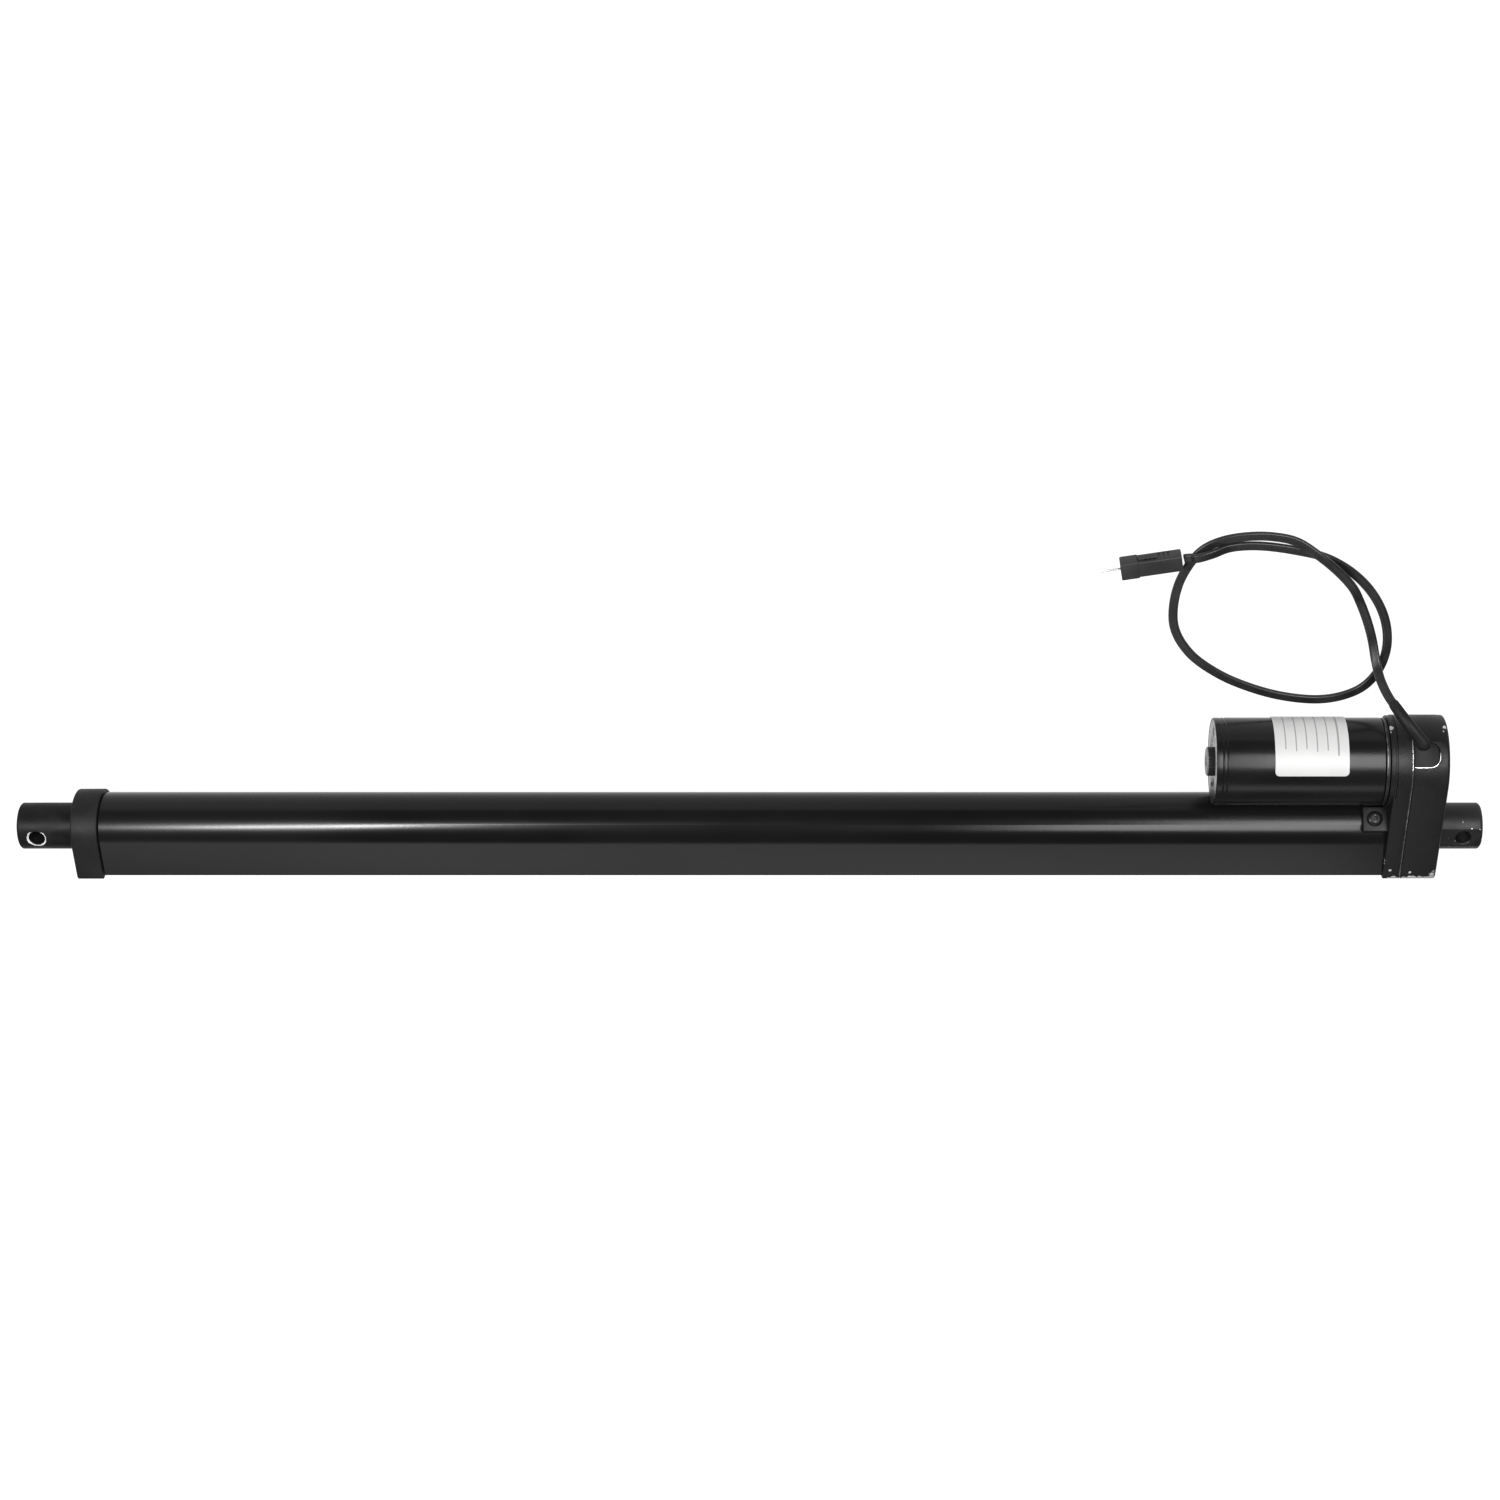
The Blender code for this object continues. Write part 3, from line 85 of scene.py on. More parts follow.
def add_camera():
    """Looks down on the actuator from its motor side, with the rod at the left of the picture."""
    data = bpy.data.cameras.new("camera")
    data.lens = CAMERA_LENS
    data.sensor_width = 36
    data.shift_x = CAMERA_SHIFT
    data.clip_start = 0.05
    camera = bpy.data.objects.new("camera", data)
    right, up, back = (-1, 0, 0), (0, -TILT_COS, -TILT_SIN), (0, -TILT_SIN, TILT_COS)
    turn = Matrix((right, up, back)).transposed().to_4x4()
    camera.matrix_world = Matrix.Translation(CAMERA_PLACE) @ turn
    bpy.context.scene.collection.objects.link(camera)
    bpy.context.scene.camera = camera


add_camera()


# ---------------------------------------------------------------- mesh helpers

def new_object(name, mesh):
    """An object in the scene that holds a mesh."""
    obj = bpy.data.objects.new(name, mesh)
    bpy.context.scene.collection.objects.link(obj)
    return obj


def finished(name, work):
    """An object from a bmesh that is no longer needed."""
    mesh = bpy.data.meshes.new(name)
    work.to_mesh(mesh)
    work.free()
    return new_object(name, mesh)


def mesh_object(name, points, faces):
    """An object from points in millimetres, with its faces turned outwards."""
    mesh = bpy.data.meshes.new(name)
    mesh.from_pydata([tuple(c * MM for c in point) for point in points], [], faces)
    work = bmesh.new()
    work.from_mesh(mesh)
    bpy.data.meshes.remove(mesh)
    bmesh.ops.remove_doubles(work, verts=work.verts, dist=0.000001)
    bmesh.ops.recalc_face_normals(work, faces=work.faces)
    return finished(name, work)


def smooth(obj, angle=32):
    """Smooth shading, with the edges sharper than an angle in degrees kept sharp."""
    obj.data.shade_smooth()
    obj.data.set_sharp_from_angle(angle=math.radians(angle))
    return obj


def baked(obj):
    """The object with its modifiers applied."""
    bpy.context.view_layer.update()
    shape = obj.evaluated_get(bpy.context.evaluated_depsgraph_get())
    mesh = bpy.data.meshes.new_from_object(shape)
    obj.modifiers.clear()
    obj.data = mesh
    return obj


def combine(target, tools, operation):
    """The target after a Boolean with each tool in turn, which uses the tools up."""
    for tool in tools:
        step = target.modifiers.new("combine", "BOOLEAN")
        step.operation = operation
        step.object = tool
        baked(target)
        bpy.data.objects.remove(tool)
    return target


def fuse(target, *tools):
    return combine(target, tools, "UNION")


def carve(target, *tools):
    return combine(target, tools, "DIFFERENCE")


def rounded_path(points, closed=False, steps=4):
    """Points (a, b, fillet) with each corner that has a fillet turned into a short curve."""
    path = []
    last = len(points) - 1
    for i, (a, b, fillet) in enumerate(points):
        here = Vector((a, b))
        if fillet == 0 or (not closed and i in (0, last)):
            path.append((a, b))
            continue
        before, after = Vector(points[i - 1][:2]), Vector(points[(i + 1) % len(points)][:2])
        start = here + (before - here).normalized() * min(fillet, (before - here).length * 0.48)
        end = here + (after - here).normalized() * min(fillet, (after - here).length * 0.48)
        for k in range(steps + 1):
            t = k / steps
            spot = start * (1 - t) ** 2 + here * 2 * t * (1 - t) + end * t**2
            path.append((spot.x, spot.y))
    return path


def turned(name, axis, profile, closed=False, steps=96):
    """A profile of (x, radius, fillet) points turned about an axis that runs along X."""
    path = rounded_path(profile, closed)
    points, faces = [], []
    for i in range(steps):
        angle = 2 * math.pi * i / steps
        for x, radius in path:
            points.append((x, axis[0] + radius * math.cos(angle), axis[1] + radius * math.sin(angle)))
    count = len(path)
    for i in range(steps):
        this, following = i * count, (i + 1) % steps * count
        for k in range(count if closed else count - 1):
            n = (k + 1) % count
            faces.append((this + k, this + n, following + n, following + k))
    obj = mesh_object(name, points, faces)
    clean = bmesh.new()
    clean.from_mesh(obj.data)
    bmesh.ops.dissolve_degenerate(clean, edges=clean.edges, dist=0.0000005)
    clean.to_mesh(obj.data)
    clean.free()
    return smooth(obj)


def belt(circles, step_deg=3.0):
    """The belt line round circles (y, z, radius), listed anticlockwise: arcs with tangents between them."""
    following = circles[1:] + circles[:1]
    normals = []
    for (y, z, radius), (next_y, next_z, next_radius) in zip(circles, following):
        heading = math.atan2(next_z - z, next_y - y)
        distance = math.hypot(next_y - y, next_z - z)
        normals.append(heading - math.acos((radius - next_radius) / distance))
    outline = []
    for (y, z, radius), start, end in zip(circles, normals[-1:] + normals[:-1], normals):
        sweep = (end - start) % (2 * math.pi)
        count = max(3, round(math.degrees(sweep) / step_deg))
        for i in range(count + 1):
            angle = start + sweep * i / count
            outline.append((y + radius * math.cos(angle), z + radius * math.sin(angle)))
    return outline


def skin(rings, count):
    """The faces of a closed body through rings of count points each: its two ends, then its sides."""
    faces = [tuple(range(count)), tuple(range((rings - 1) * count, rings * count))]
    for i in range(rings - 1):
        for k in range(count):
            n = (k + 1) % count
            here, there = i * count, (i + 1) * count
            faces.append((here + k, here + n, there + n, there + k))
    return faces


def loft(name, sections):
    """A closed body through sections (x, outline) that have the same number of points."""
    points = [(x, y, z) for x, outline in sections for y, z in outline]
    return smooth(mesh_object(name, points, skin(len(sections), len(sections[0][1]))))


def edge_steps(front, rear, front_edge, rear_edge, steps=4):
    """(x, inset) pairs from the front to the rear end of a body whose end edges are rounded."""
    pairs = []
    for i in range(steps + 1):
        angle = math.pi / 2 * i / steps
        pairs.append((front - front_edge * (1 - math.cos(angle)), front_edge * (1 - math.sin(angle))))
    for i in range(steps + 1):
        angle = math.pi / 2 * i / steps
        pairs.append((rear + rear_edge * (1 - math.sin(angle)), rear_edge * (1 - math.cos(angle))))
    return pairs


def prism(name, axis, circles, front, rear, front_edge=0.4, rear_edge=0.4, step_deg=3.0):
    """A body with a belt line's section along X, and rounded edges at its two ends."""
    placed = [(axis[0] + y, axis[1] + z, radius) for y, z, radius in circles]
    sections = []
    for x, inset in edge_steps(front, rear, front_edge, rear_edge):
        sections.append((x, belt([(y, z, radius - inset) for y, z, radius in placed], step_deg)))
    return loft(name, sections)


def drum(name, start, end, radius, steps=48):
    """A cylinder between two points in millimetres, for cutting or joining."""
    start, end = Vector(start) * MM, Vector(end) * MM
    work = bmesh.new()
    turn = (end - start).to_track_quat("Z", "Y").to_matrix().to_4x4()
    place = Matrix.Translation((start + end) / 2) @ turn
    depth, size = (end - start).length, radius * MM
    bmesh.ops.create_cone(
        work, cap_ends=True, segments=steps, radius1=size, radius2=size, depth=depth, matrix=place
    )
    return smooth(finished(name, work))


def bore(name, low, high, spot, radius, steps=48):
    """A cylinder along X between two ends, round a (y, z) in millimetres."""
    return drum(name, (low, *spot), (high, *spot), radius, steps)


def block(name, low, high, edge=0.0, about=None, turn_deg=0.0):
    """A box between two corners in millimetres, with rounded edges, turned about an axis along X."""
    low, high = Vector(low) * MM, Vector(high) * MM
    work = bmesh.new()
    size = Matrix.Diagonal((*(high - low), 1))
    bmesh.ops.create_cube(work, size=1, matrix=Matrix.Translation((low + high) / 2) @ size)
    if edge:
        edges, offset = work.edges[:], edge * MM
        bmesh.ops.bevel(
            work, geom=edges, offset=offset, segments=3, profile=0.5, affect="EDGES", clamp_overlap=True
        )
    if about:
        centre = Matrix.Translation(Vector((0, *about)) * MM)
        spin = centre @ Matrix.Rotation(math.radians(turn_deg), 4, "X") @ centre.inverted()
        bmesh.ops.transform(work, matrix=spin, verts=work.verts)
    return smooth(finished(name, work))


def place(obj, material, body, slot, *nodes):
    """Gives a piece its material and its body, and hides the CAD nodes that it stands for. The slot argument
    is not used.
    """
    obj.data.materials.clear()
    obj.data.materials.append(material)
    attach(obj, body)
    if nodes:
        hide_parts(*nodes)
    return obj


# ---------------------------------------------------------------- material helpers

# A Mix node's factor, first and second inputs and its output, by number, for colours and for numbers
COLOUR_SOCKETS, COLOUR_RESULT = (0, 6, 7), 2
FLOAT_SOCKETS, FLOAT_RESULT = (0, 2, 3), 0


class Finish:
    """A Principled material that is built up from noise in the piece's own coordinates."""

    def __init__(self, name, colour, roughness, metallic=0.0, coat=0.0, specular=0.5):
        self.material = bpy.data.materials.new(name)
        self.material.use_nodes = True
        self.tree = self.material.node_tree
        self.shader = self.tree.nodes["Principled BSDF"]
        self.colour, self.roughness = colour, roughness
        self.shader.inputs["Base Color"].default_value = (*colour, 1)
        self.shader.inputs["Roughness"].default_value = roughness
        self.shader.inputs["Metallic"].default_value = metallic
        self.shader.inputs["Coat Weight"].default_value = coat
        self.shader.inputs["Specular IOR Level"].default_value = specular
        self.place = self.add("ShaderNodeTexCoord").outputs["Object"]

    def add(self, kind, **settings):
        node = self.tree.nodes.new(kind)
        for key, value in settings.items():
            setattr(node, key, value)
        return node

    def feed(self, socket, value):
        if isinstance(value, bpy.types.NodeSocket):
            self.tree.links.new(value, socket)
        else:
            socket.default_value = value

    def math(self, operation, first, second=0.0, clamp=False):
        node = self.add("ShaderNodeMath", operation=operation, use_clamp=clamp)
        self.feed(node.inputs[0], first)
        self.feed(node.inputs[1], second)
        return node.outputs[0]

    def stretched(self, scale):
        node = self.add("ShaderNodeMapping")
        self.feed(node.inputs["Vector"], self.place)
        node.inputs["Scale"].default_value = scale
        return node.outputs[0]

    def noise(self, per_metre, stretch=(1, 1, 1), detail=3.0, roughness=0.55):
        node = self.add("ShaderNodeTexNoise")
        self.feed(node.inputs["Vector"], self.stretched(stretch))
        node.inputs["Scale"].default_value = per_metre
        node.inputs["Detail"].default_value = detail
        node.inputs["Roughness"].default_value = roughness
        return node.outputs["Fac"]

    def fit(self, value, low, high, to_low=0.0, to_high=1.0):
        node = self.add("ShaderNodeMapRange")
        self.feed(node.inputs["Value"], value)
        node.inputs["From Min"].default_value = low
        node.inputs["From Max"].default_value = high
        node.inputs["To Min"].default_value = to_low
        node.inputs["To Max"].default_value = to_high
        return node.outputs["Result"]

    def mix(self, factor, first, second):
        node = self.add("ShaderNodeMix", data_type="RGBA")
        factor_in, first_in, second_in = (node.inputs[i] for i in COLOUR_SOCKETS)
        self.feed(factor_in, factor)
        self.feed(first_in, first if isinstance(first, bpy.types.NodeSocket) else (*first, 1))
        self.feed(second_in, second if isinstance(second, bpy.types.NodeSocket) else (*second, 1))
        return node.outputs[COLOUR_RESULT]

    def tint(self, factor, colour):
        """Blends a colour over what the base colour shows so far."""
        socket = self.shader.inputs["Base Color"]
        below = socket.links[0].from_socket if socket.links else self.colour
        self.feed(socket, self.mix(factor, below, colour))

    def gloss(self, factor, to_low, to_high):
        self.feed(self.shader.inputs["Roughness"], self.fit(factor, 0.25, 0.75, to_low, to_high))

    def clouded(self, cloud, low, high, amount, colour, glossy, dull):
        """Blends a colour in where a noise is high, and lets the gloss vary with it."""
        self.tint(self.fit(cloud, low, high, 0.0, amount), colour)
        self.gloss(cloud, glossy, dull)

    def bump(self, height, depth_mm, strength=1.0):
        node = self.add("ShaderNodeBump")
        self.feed(node.inputs["Height"], height)
        node.inputs["Distance"].default_value = depth_mm * MM
        node.inputs["Strength"].default_value = strength
        socket = self.shader.inputs["Normal"]
        if socket.links:
            self.feed(node.inputs["Normal"], socket.links[0].from_socket)
        self.feed(socket, node.outputs["Normal"])

    def spot(self, centre, radius, ragged=0.5):
        """1 inside a ragged blob round a point in millimetres, and 0 outside it."""
        distance = self.add("ShaderNodeVectorMath", operation="DISTANCE")
        self.feed(distance.inputs[0], self.place)
        distance.inputs[1].default_value = [c * MM for c in centre]
        wave = self.fit(self.noise(1400, detail=2), 0.3, 0.7, -ragged * radius * MM, ragged * radius * MM)
        reach = self.math("ADD", distance.outputs["Value"], wave)
        return self.fit(reach, radius * MM * 1.08, radius * MM * 0.92)

    def bare(self, mask, colour=(0.50, 0.50, 0.51), roughness=0.45):
        """Paint that is gone where mask is 1, so that the metal below shows."""
        self.tint(mask, colour)
        self.feed(self.shader.inputs["Metallic"], mask)
        socket = self.shader.inputs["Roughness"]
        below = socket.links[0].from_socket if socket.links else self.roughness
        node = self.add("ShaderNodeMix", data_type="FLOAT")
        factor_in, first_in, second_in = (node.inputs[i] for i in FLOAT_SOCKETS)
        self.feed(factor_in, mask)
        self.feed(first_in, below)
        self.feed(second_in, roughness)
        self.feed(socket, node.outputs[FLOAT_RESULT])

    def most(self, masks):
        total = masks[0]
        for mask in masks[1:]:
            total = self.math("MAXIMUM", total, mask)
        return total

    def coordinates(self):
        """The piece's own x, y and z in millimetres."""
        split = self.add("ShaderNodeSeparateXYZ")
        self.feed(split.inputs[0], self.place)
        return [self.math("DIVIDE", split.outputs[i], MM) for i in range(3)]

    def hypotenuse(self, first, second):
        square = self.math("ADD", self.math("POWER", first, 2), self.math("POWER", second, 2))
        return self.math("SQRT", square)

    def between(self, value, low, high):
        above = self.math("GREATER_THAN", value, low)
        return self.math("MULTIPLY", above, self.math("LESS_THAN", value, high))

    def within(self, distance, reach, ragged=0.6):
        """1 where a distance in millimetres is under a reach that varies raggedly from place to place."""
        uneven = self.fit(self.noise(520, detail=3), 0.35, 0.65, reach * (1 - ragged), reach * (1 + ragged))
        return self.math("LESS_THAN", distance, uneven)

    def wear_line(self, y, z, x_low, x_high, reach, ragged=0.9):
        """Wear along a line that runs along X at y and z."""
        x_here, y_here, z_here = self.coordinates()
        distance = self.hypotenuse(self.math("SUBTRACT", y_here, y), self.math("SUBTRACT", z_here, z))
        mask = self.within(distance, reach, ragged)
        return self.math("MULTIPLY", mask, self.between(x_here, x_low, x_high))

    def wear_and_highlight_plane(self, x, reach, y_range, z_range, ragged=0.9):
        """A mask along the plane at x, inside ranges of y and z: wear, and in the front casting a painted
        highlight along its seam.
        """
        x_here, y_here, z_here = self.coordinates()
        distance = self.math("ABSOLUTE", self.math("SUBTRACT", x_here, x))
        mask = self.math("MULTIPLY", self.within(distance, reach, ragged), self.between(y_here, *y_range))
        return self.math("MULTIPLY", mask, self.between(z_here, *z_range))


# ---------------------------------------------------------------- materials

FRONT_HOLE_X, REAR_HOLE_X = 306.7, -306.8
PIN_HOLE_RADIUS = 3.2
HOLE_RIM_RADIUS, HOLE_RING_INSIDE = 4.15, 3.5
PAINT_SHEEN = 0.14
FLECK_LEVEL = 0.70


def tube_paint():
    """Satin black coating on an extruded tube: faint lines along it, orange peel and specks of dust."""
    f = Finish("tube_paint", (0.0020, 0.0020, 0.0021), 0.24, specular=PAINT_SHEEN)
    cloud = f.noise(22, (0.4, 1, 1), detail=4)
    f.clouded(cloud, 0.3, 0.75, 0.8, (0.0045, 0.0045, 0.0047), 0.18, 0.27)
    dust = f.fit(f.noise(520, detail=5, roughness=0.8), 0.71, 0.80, 0.0, 0.4)
    f.tint(dust, (0.10, 0.10, 0.10))
    f.bump(f.noise(900, (0.01, 1, 1), detail=2), 0.004)
    f.bump(f.noise(650, detail=2), 0.009)
    return f.material


def rod_paint(name, hole_x, rim, specular):
    """Satin black coating on an eye: a bright ring in a sunk cross-pin hole, or flecks round a plain one."""
    f = Finish(name, (0.0030, 0.0030, 0.0032), 0.50, specular=specular)
    cloud = f.noise(120, detail=4)
    f.clouded(cloud, 0.35, 0.8, 0.9, (0.0075, 0.0075, 0.0078), 0.40, 0.54)
    f.bump(f.noise(900, detail=3), 0.03)
    x, y = f.coordinates()[:2]
    from_hole = f.hypotenuse(f.math("SUBTRACT", x, hole_x), f.math("SUBTRACT", y, ROD_AXIS[0]))
    if rim > PIN_HOLE_RADIUS:
        inside = f.math("GREATER_THAN", from_hole, HOLE_RING_INSIDE)
        ring = f.math("MULTIPLY", f.within(from_hole, rim, 0.03), inside)
        f.tint(f.math("MULTIPLY", ring, f.fit(y, ROD_AXIS[0] - 3.3, ROD_AXIS[0] - 2.6)), (0.42, 0.42, 0.42))
    else:
        fleck = f.fit(f.noise(760, detail=2), FLECK_LEVEL, FLECK_LEVEL + 0.02)
        f.bare(f.math("MULTIPLY", fleck, f.between(from_hole, rim + 0.4, rim + 5.5)), roughness=0.55)
    return f.material


def casting(name):
    """Thin black paint on a rough die casting."""
    f = Finish(name, (0.0028, 0.0028, 0.0030), 0.42, specular=0.15)
    cloud = f.noise(90, detail=4)
    f.clouded(cloud, 0.35, 0.75, 0.9, (0.0055, 0.0055, 0.0057), 0.34, 0.54)
    f.bump(f.noise(520, detail=5, roughness=0.65), 0.10)
    f.bump(f.noise(1500, detail=3), 0.04)
    return f


def housing_paint():
    """The front casting's paint, chipped at the motor seat, at the collar and along the base edge, with a
    painted highlight along its rear seam.
    """
    f = casting("housing_paint")
    side, corner = BASE_EDGE
    pocket_y, pocket_z = (-33.5, -23.0), (30.0, 38.8)
    rear = span("gearbox_housing", 0)[0]
    # Painted highlight: a thin grey line along the rear seam, in place of the light that the seam's edge
    # catches
    f.tint(f.wear_and_highlight_plane(rear, 0.4, (-40.0, 40.0), (3.0, 41.0), ragged=0.35), (0.05, 0.05, 0.05))
    f.bare(f.most([
        f.spot((-271.2, -35.0, 23.4), 1.15),
        f.spot((-270.9, -34.2, 25.8), 0.45),
        f.spot((-272.6, 24.9, 36.0), 0.7),
        f.spot((-272.6, 26.5, 36.0), 0.45),
        f.spot((-275.4, 30.2, 36.0), 0.7),
        f.wear_line(side, corner, -279.8, -274.6, 0.9, ragged=0.6),
        f.wear_and_highlight_plane(rear, 0.32, pocket_y, pocket_z, ragged=0.5),
        f.wear_and_highlight_plane(rear, 0.13, (-40.0, 40.0), (28.0, 41.0)),
    ]))
    return f.material


def cover_paint():
    """The rear casting's paint, worn to bright metal round the cord pocket and along the base edge."""
    f = casting("cover_paint")
    side, corner = BASE_EDGE
    f.bare(f.most([
        f.spot((-293.9, -35.0, 23.4), 0.75),
        f.spot((-293.2, -34.9, 25.6), 0.5),
        f.spot((-284.0, 31.5, 36.0), 0.6),
        f.wear_line(side, corner, -295.4, -280.6, 1.05, ragged=0.5),
        f.spot((-293.6, 32.4, 36.0), 1.0),
        f.spot((-294.2, 30.6, 36.0), 0.5),
        pocket_rim(f),
    ]))
    return f.material


def pocket_rim(f):
    """Wear along the outer edge of the pocket in the cover."""
    x, y, z = f.coordinates()
    turn = math.radians(POCKET_MIDDLE_DEG)
    aside = f.math("SUBTRACT", y, MOTOR_AXIS[0])
    above = f.math("SUBTRACT", z, MOTOR_AXIS[1])
    lower = f.math("MULTIPLY", above, math.sin(turn))
    across = f.math("ADD", f.math("MULTIPLY", aside, math.cos(turn)), lower)
    behind = f.math("MAXIMUM", f.math("SUBTRACT", POCKET_REAR + POCKET_CORNER, x), 0.0)
    beyond = f.math("SUBTRACT", f.math("ABSOLUTE", across), POCKET_HALF_WIDTH - POCKET_CORNER)
    beyond = f.math("MAXIMUM", beyond, 0.0)
    from_edge = f.math("ABSOLUTE", f.math("SUBTRACT", f.hypotenuse(behind, beyond), POCKET_CORNER))
    radius = f.hypotenuse(aside, above)
    rim = f.math("MULTIPLY", f.within(from_edge, 0.22, 0.5), f.math("GREATER_THAN", radius, 19.2))
    return f.math("MULTIPLY", rim, f.fit(across, -1.0, 1.2))


def motor_paint():
    """Glossy black paint on the motor's rolled steel can."""
    f = Finish("motor_paint", (0.0027, 0.0027, 0.0029), 0.30, specular=PAINT_SHEEN)
    cloud = f.noise(45, (0.5, 1, 1), detail=4)
    f.clouded(cloud, 0.35, 0.75, 0.8, (0.005, 0.005, 0.0052), 0.21, 0.31)
    f.bump(f.noise(800, detail=2), 0.02)
    f.bump(f.noise(700, (0.02, 1, 1), detail=2), 0.01)
    return f.material


# Dark stains on the motor's end plate, and one large painted shade over its lower part: y, z and radius
ZINC_STAINS_AND_SHADE = (
    (-27.2, 16.4, 3.2),
    (-24.0, 15.0, 2.0),
    (-5.0, 20.9, 2.6),
    # Painted shade: a large dark patch that darkens the plate's lower part
    (8.0, 37.0, 18.5),
    (-1.0, 22.0, 3.0),
)
STAIN_AND_SHADE_RAGGEDNESS = 1.5


def zinc():
    """Bright, grainy zinc with oil stains on it, and a painted shade over its lower part."""
    f = Finish("zinc_casting", (0.46, 0.46, 0.47), 0.42, metallic=1.0)
    grain = f.noise(900, detail=5, roughness=0.75)
    f.clouded(grain, 0.35, 0.65, 1.0, (0.15, 0.15, 0.155), 0.40, 0.65)
    f.bump(grain, 0.12)
    x = span("motor_end_plate", 0)[1] - 0.1
    stains_and_shade = [f.spot((x, y, z), radius, ragged=STAIN_AND_SHADE_RAGGEDNESS / radius) for y, z, radius in ZINC_STAINS_AND_SHADE]
    # Dark stains, and the painted shade over the plate's lower part
    f.tint(f.most(stains_and_shade), (0.015, 0.015, 0.015))
    return f.material


def moulded(name, colour, lighter, roughness, grain=1100, depth=0.03, specular=0.25):
    """Moulded plastic or rubber: fine grain and slow changes of tone."""
    f = Finish(name, colour, roughness, specular=specular)
    cloud = f.noise(110, detail=4)
    f.clouded(cloud, 0.35, 0.75, 1.0, lighter, roughness - 0.06, roughness + 0.08)
    f.bump(f.noise(grain, detail=3), depth)
    return f.material


def machined(name, colour, darker, roughness, stretch=(8, 1, 1)):
    """Metal with tool marks: fine noise stretched the way the tool ran."""
    f = Finish(name, colour, roughness, metallic=1.0)
    marks = f.noise(700, stretch, detail=4)
    f.clouded(marks, 0.35, 0.7, 1.0, darker, roughness - 0.08, roughness + 0.1)
    f.bump(marks, 0.01)
    return f.material


def banded(name, colour, groove, per_metre, direction, metallic, roughness, depth):
    """A surface wound or threaded in close rounds, which show as bands."""
    f = Finish(name, colour, roughness, metallic=metallic)
    wave = f.add("ShaderNodeTexWave", bands_direction=direction)
    f.feed(wave.inputs["Vector"], f.place)
    wave.inputs["Scale"].default_value = per_metre
    wave.inputs["Distortion"].default_value = 0.4
    wave.inputs["Detail"].default_value = 2
    f.tint(f.fit(wave.outputs["Fac"], 0.0, 0.5, 0.8, 0.0), groove)
    f.bump(wave.outputs["Fac"], depth)
    return f.material


def board_finish():
    """Green circuit board with two tinned tracks along it."""
    f = Finish("circuit_board", (0.03, 0.14, 0.06), 0.4, coat=0.3)
    cloud = f.noise(200, detail=3)
    f.tint(f.fit(cloud, 0.4, 0.7), (0.04, 0.18, 0.08))
    z = f.coordinates()[2]
    low, high = span("limit_switch_board", 2)
    height = high - low
    tracks = [f.between(z, low + share * height, low + (share + 0.12) * height) for share in (0.25, 0.6)]
    f.tint(f.math("MULTIPLY", f.most(tracks), 0.7), (0.55, 0.55, 0.52))
    f.bump(f.most(tracks), 0.05)
    return f.material


def label_film():
    """A blank pale film, mottled by handling, with six thin grey rules round the motor instead of print."""
    f = Finish("label_film", (0.30, 0.30, 0.298), 0.42, specular=0.3)
    cloud = f.noise(60, detail=5)
    f.tint(f.fit(cloud, 0.4, 0.75, 0.0, 0.4), (0.24, 0.24, 0.237))
    x, y = f.coordinates()[:2]
    low, high = span("rating_label", 0)
    step = (high - low) / (LABEL_RULES + 1)
    for i in range(LABEL_RULES):
        middle = low + (i + 1) * step
        width = LABEL_RULE_WIDTH * (1.6 if i == 0 else 1)
        rule = f.between(x, middle - width / 2, middle + width / 2)
        rule = f.math("MULTIPLY", rule, f.math("LESS_THAN", y, MOTOR_AXIS[0] - LABEL_RULE_ENDS[i]))
        f.tint(f.math("MULTIPLY", rule, 0.7), (0.09, 0.09, 0.09))
    f.bump(f.noise(500, detail=2), 0.01)
    return f.material


# The label's rules, and how far from the motor's middle each of them ends
LABEL_RULES = 6
LABEL_RULE_WIDTH = 0.5
LABEL_RULE_ENDS = (12.6, 14.2, 13.8, 14.6, 14.0, 14.6)

# The round of the gearbox's base corners, the (y, z) of the base edge that takes the knocks, and the cord
# pocket in the cover, whose angle is counted round the motor axis from +Z towards -Y
BASE_CORNER = 1.8
BASE_EDGE = (34.8, 35.6)
POCKET_REAR, POCKET_MIDDLE_DEG = -291.2, 42.5
POCKET_HALF_WIDTH, POCKET_CORNER = 5.4, 4.3


# ---------------------------------------------------------------- power cord

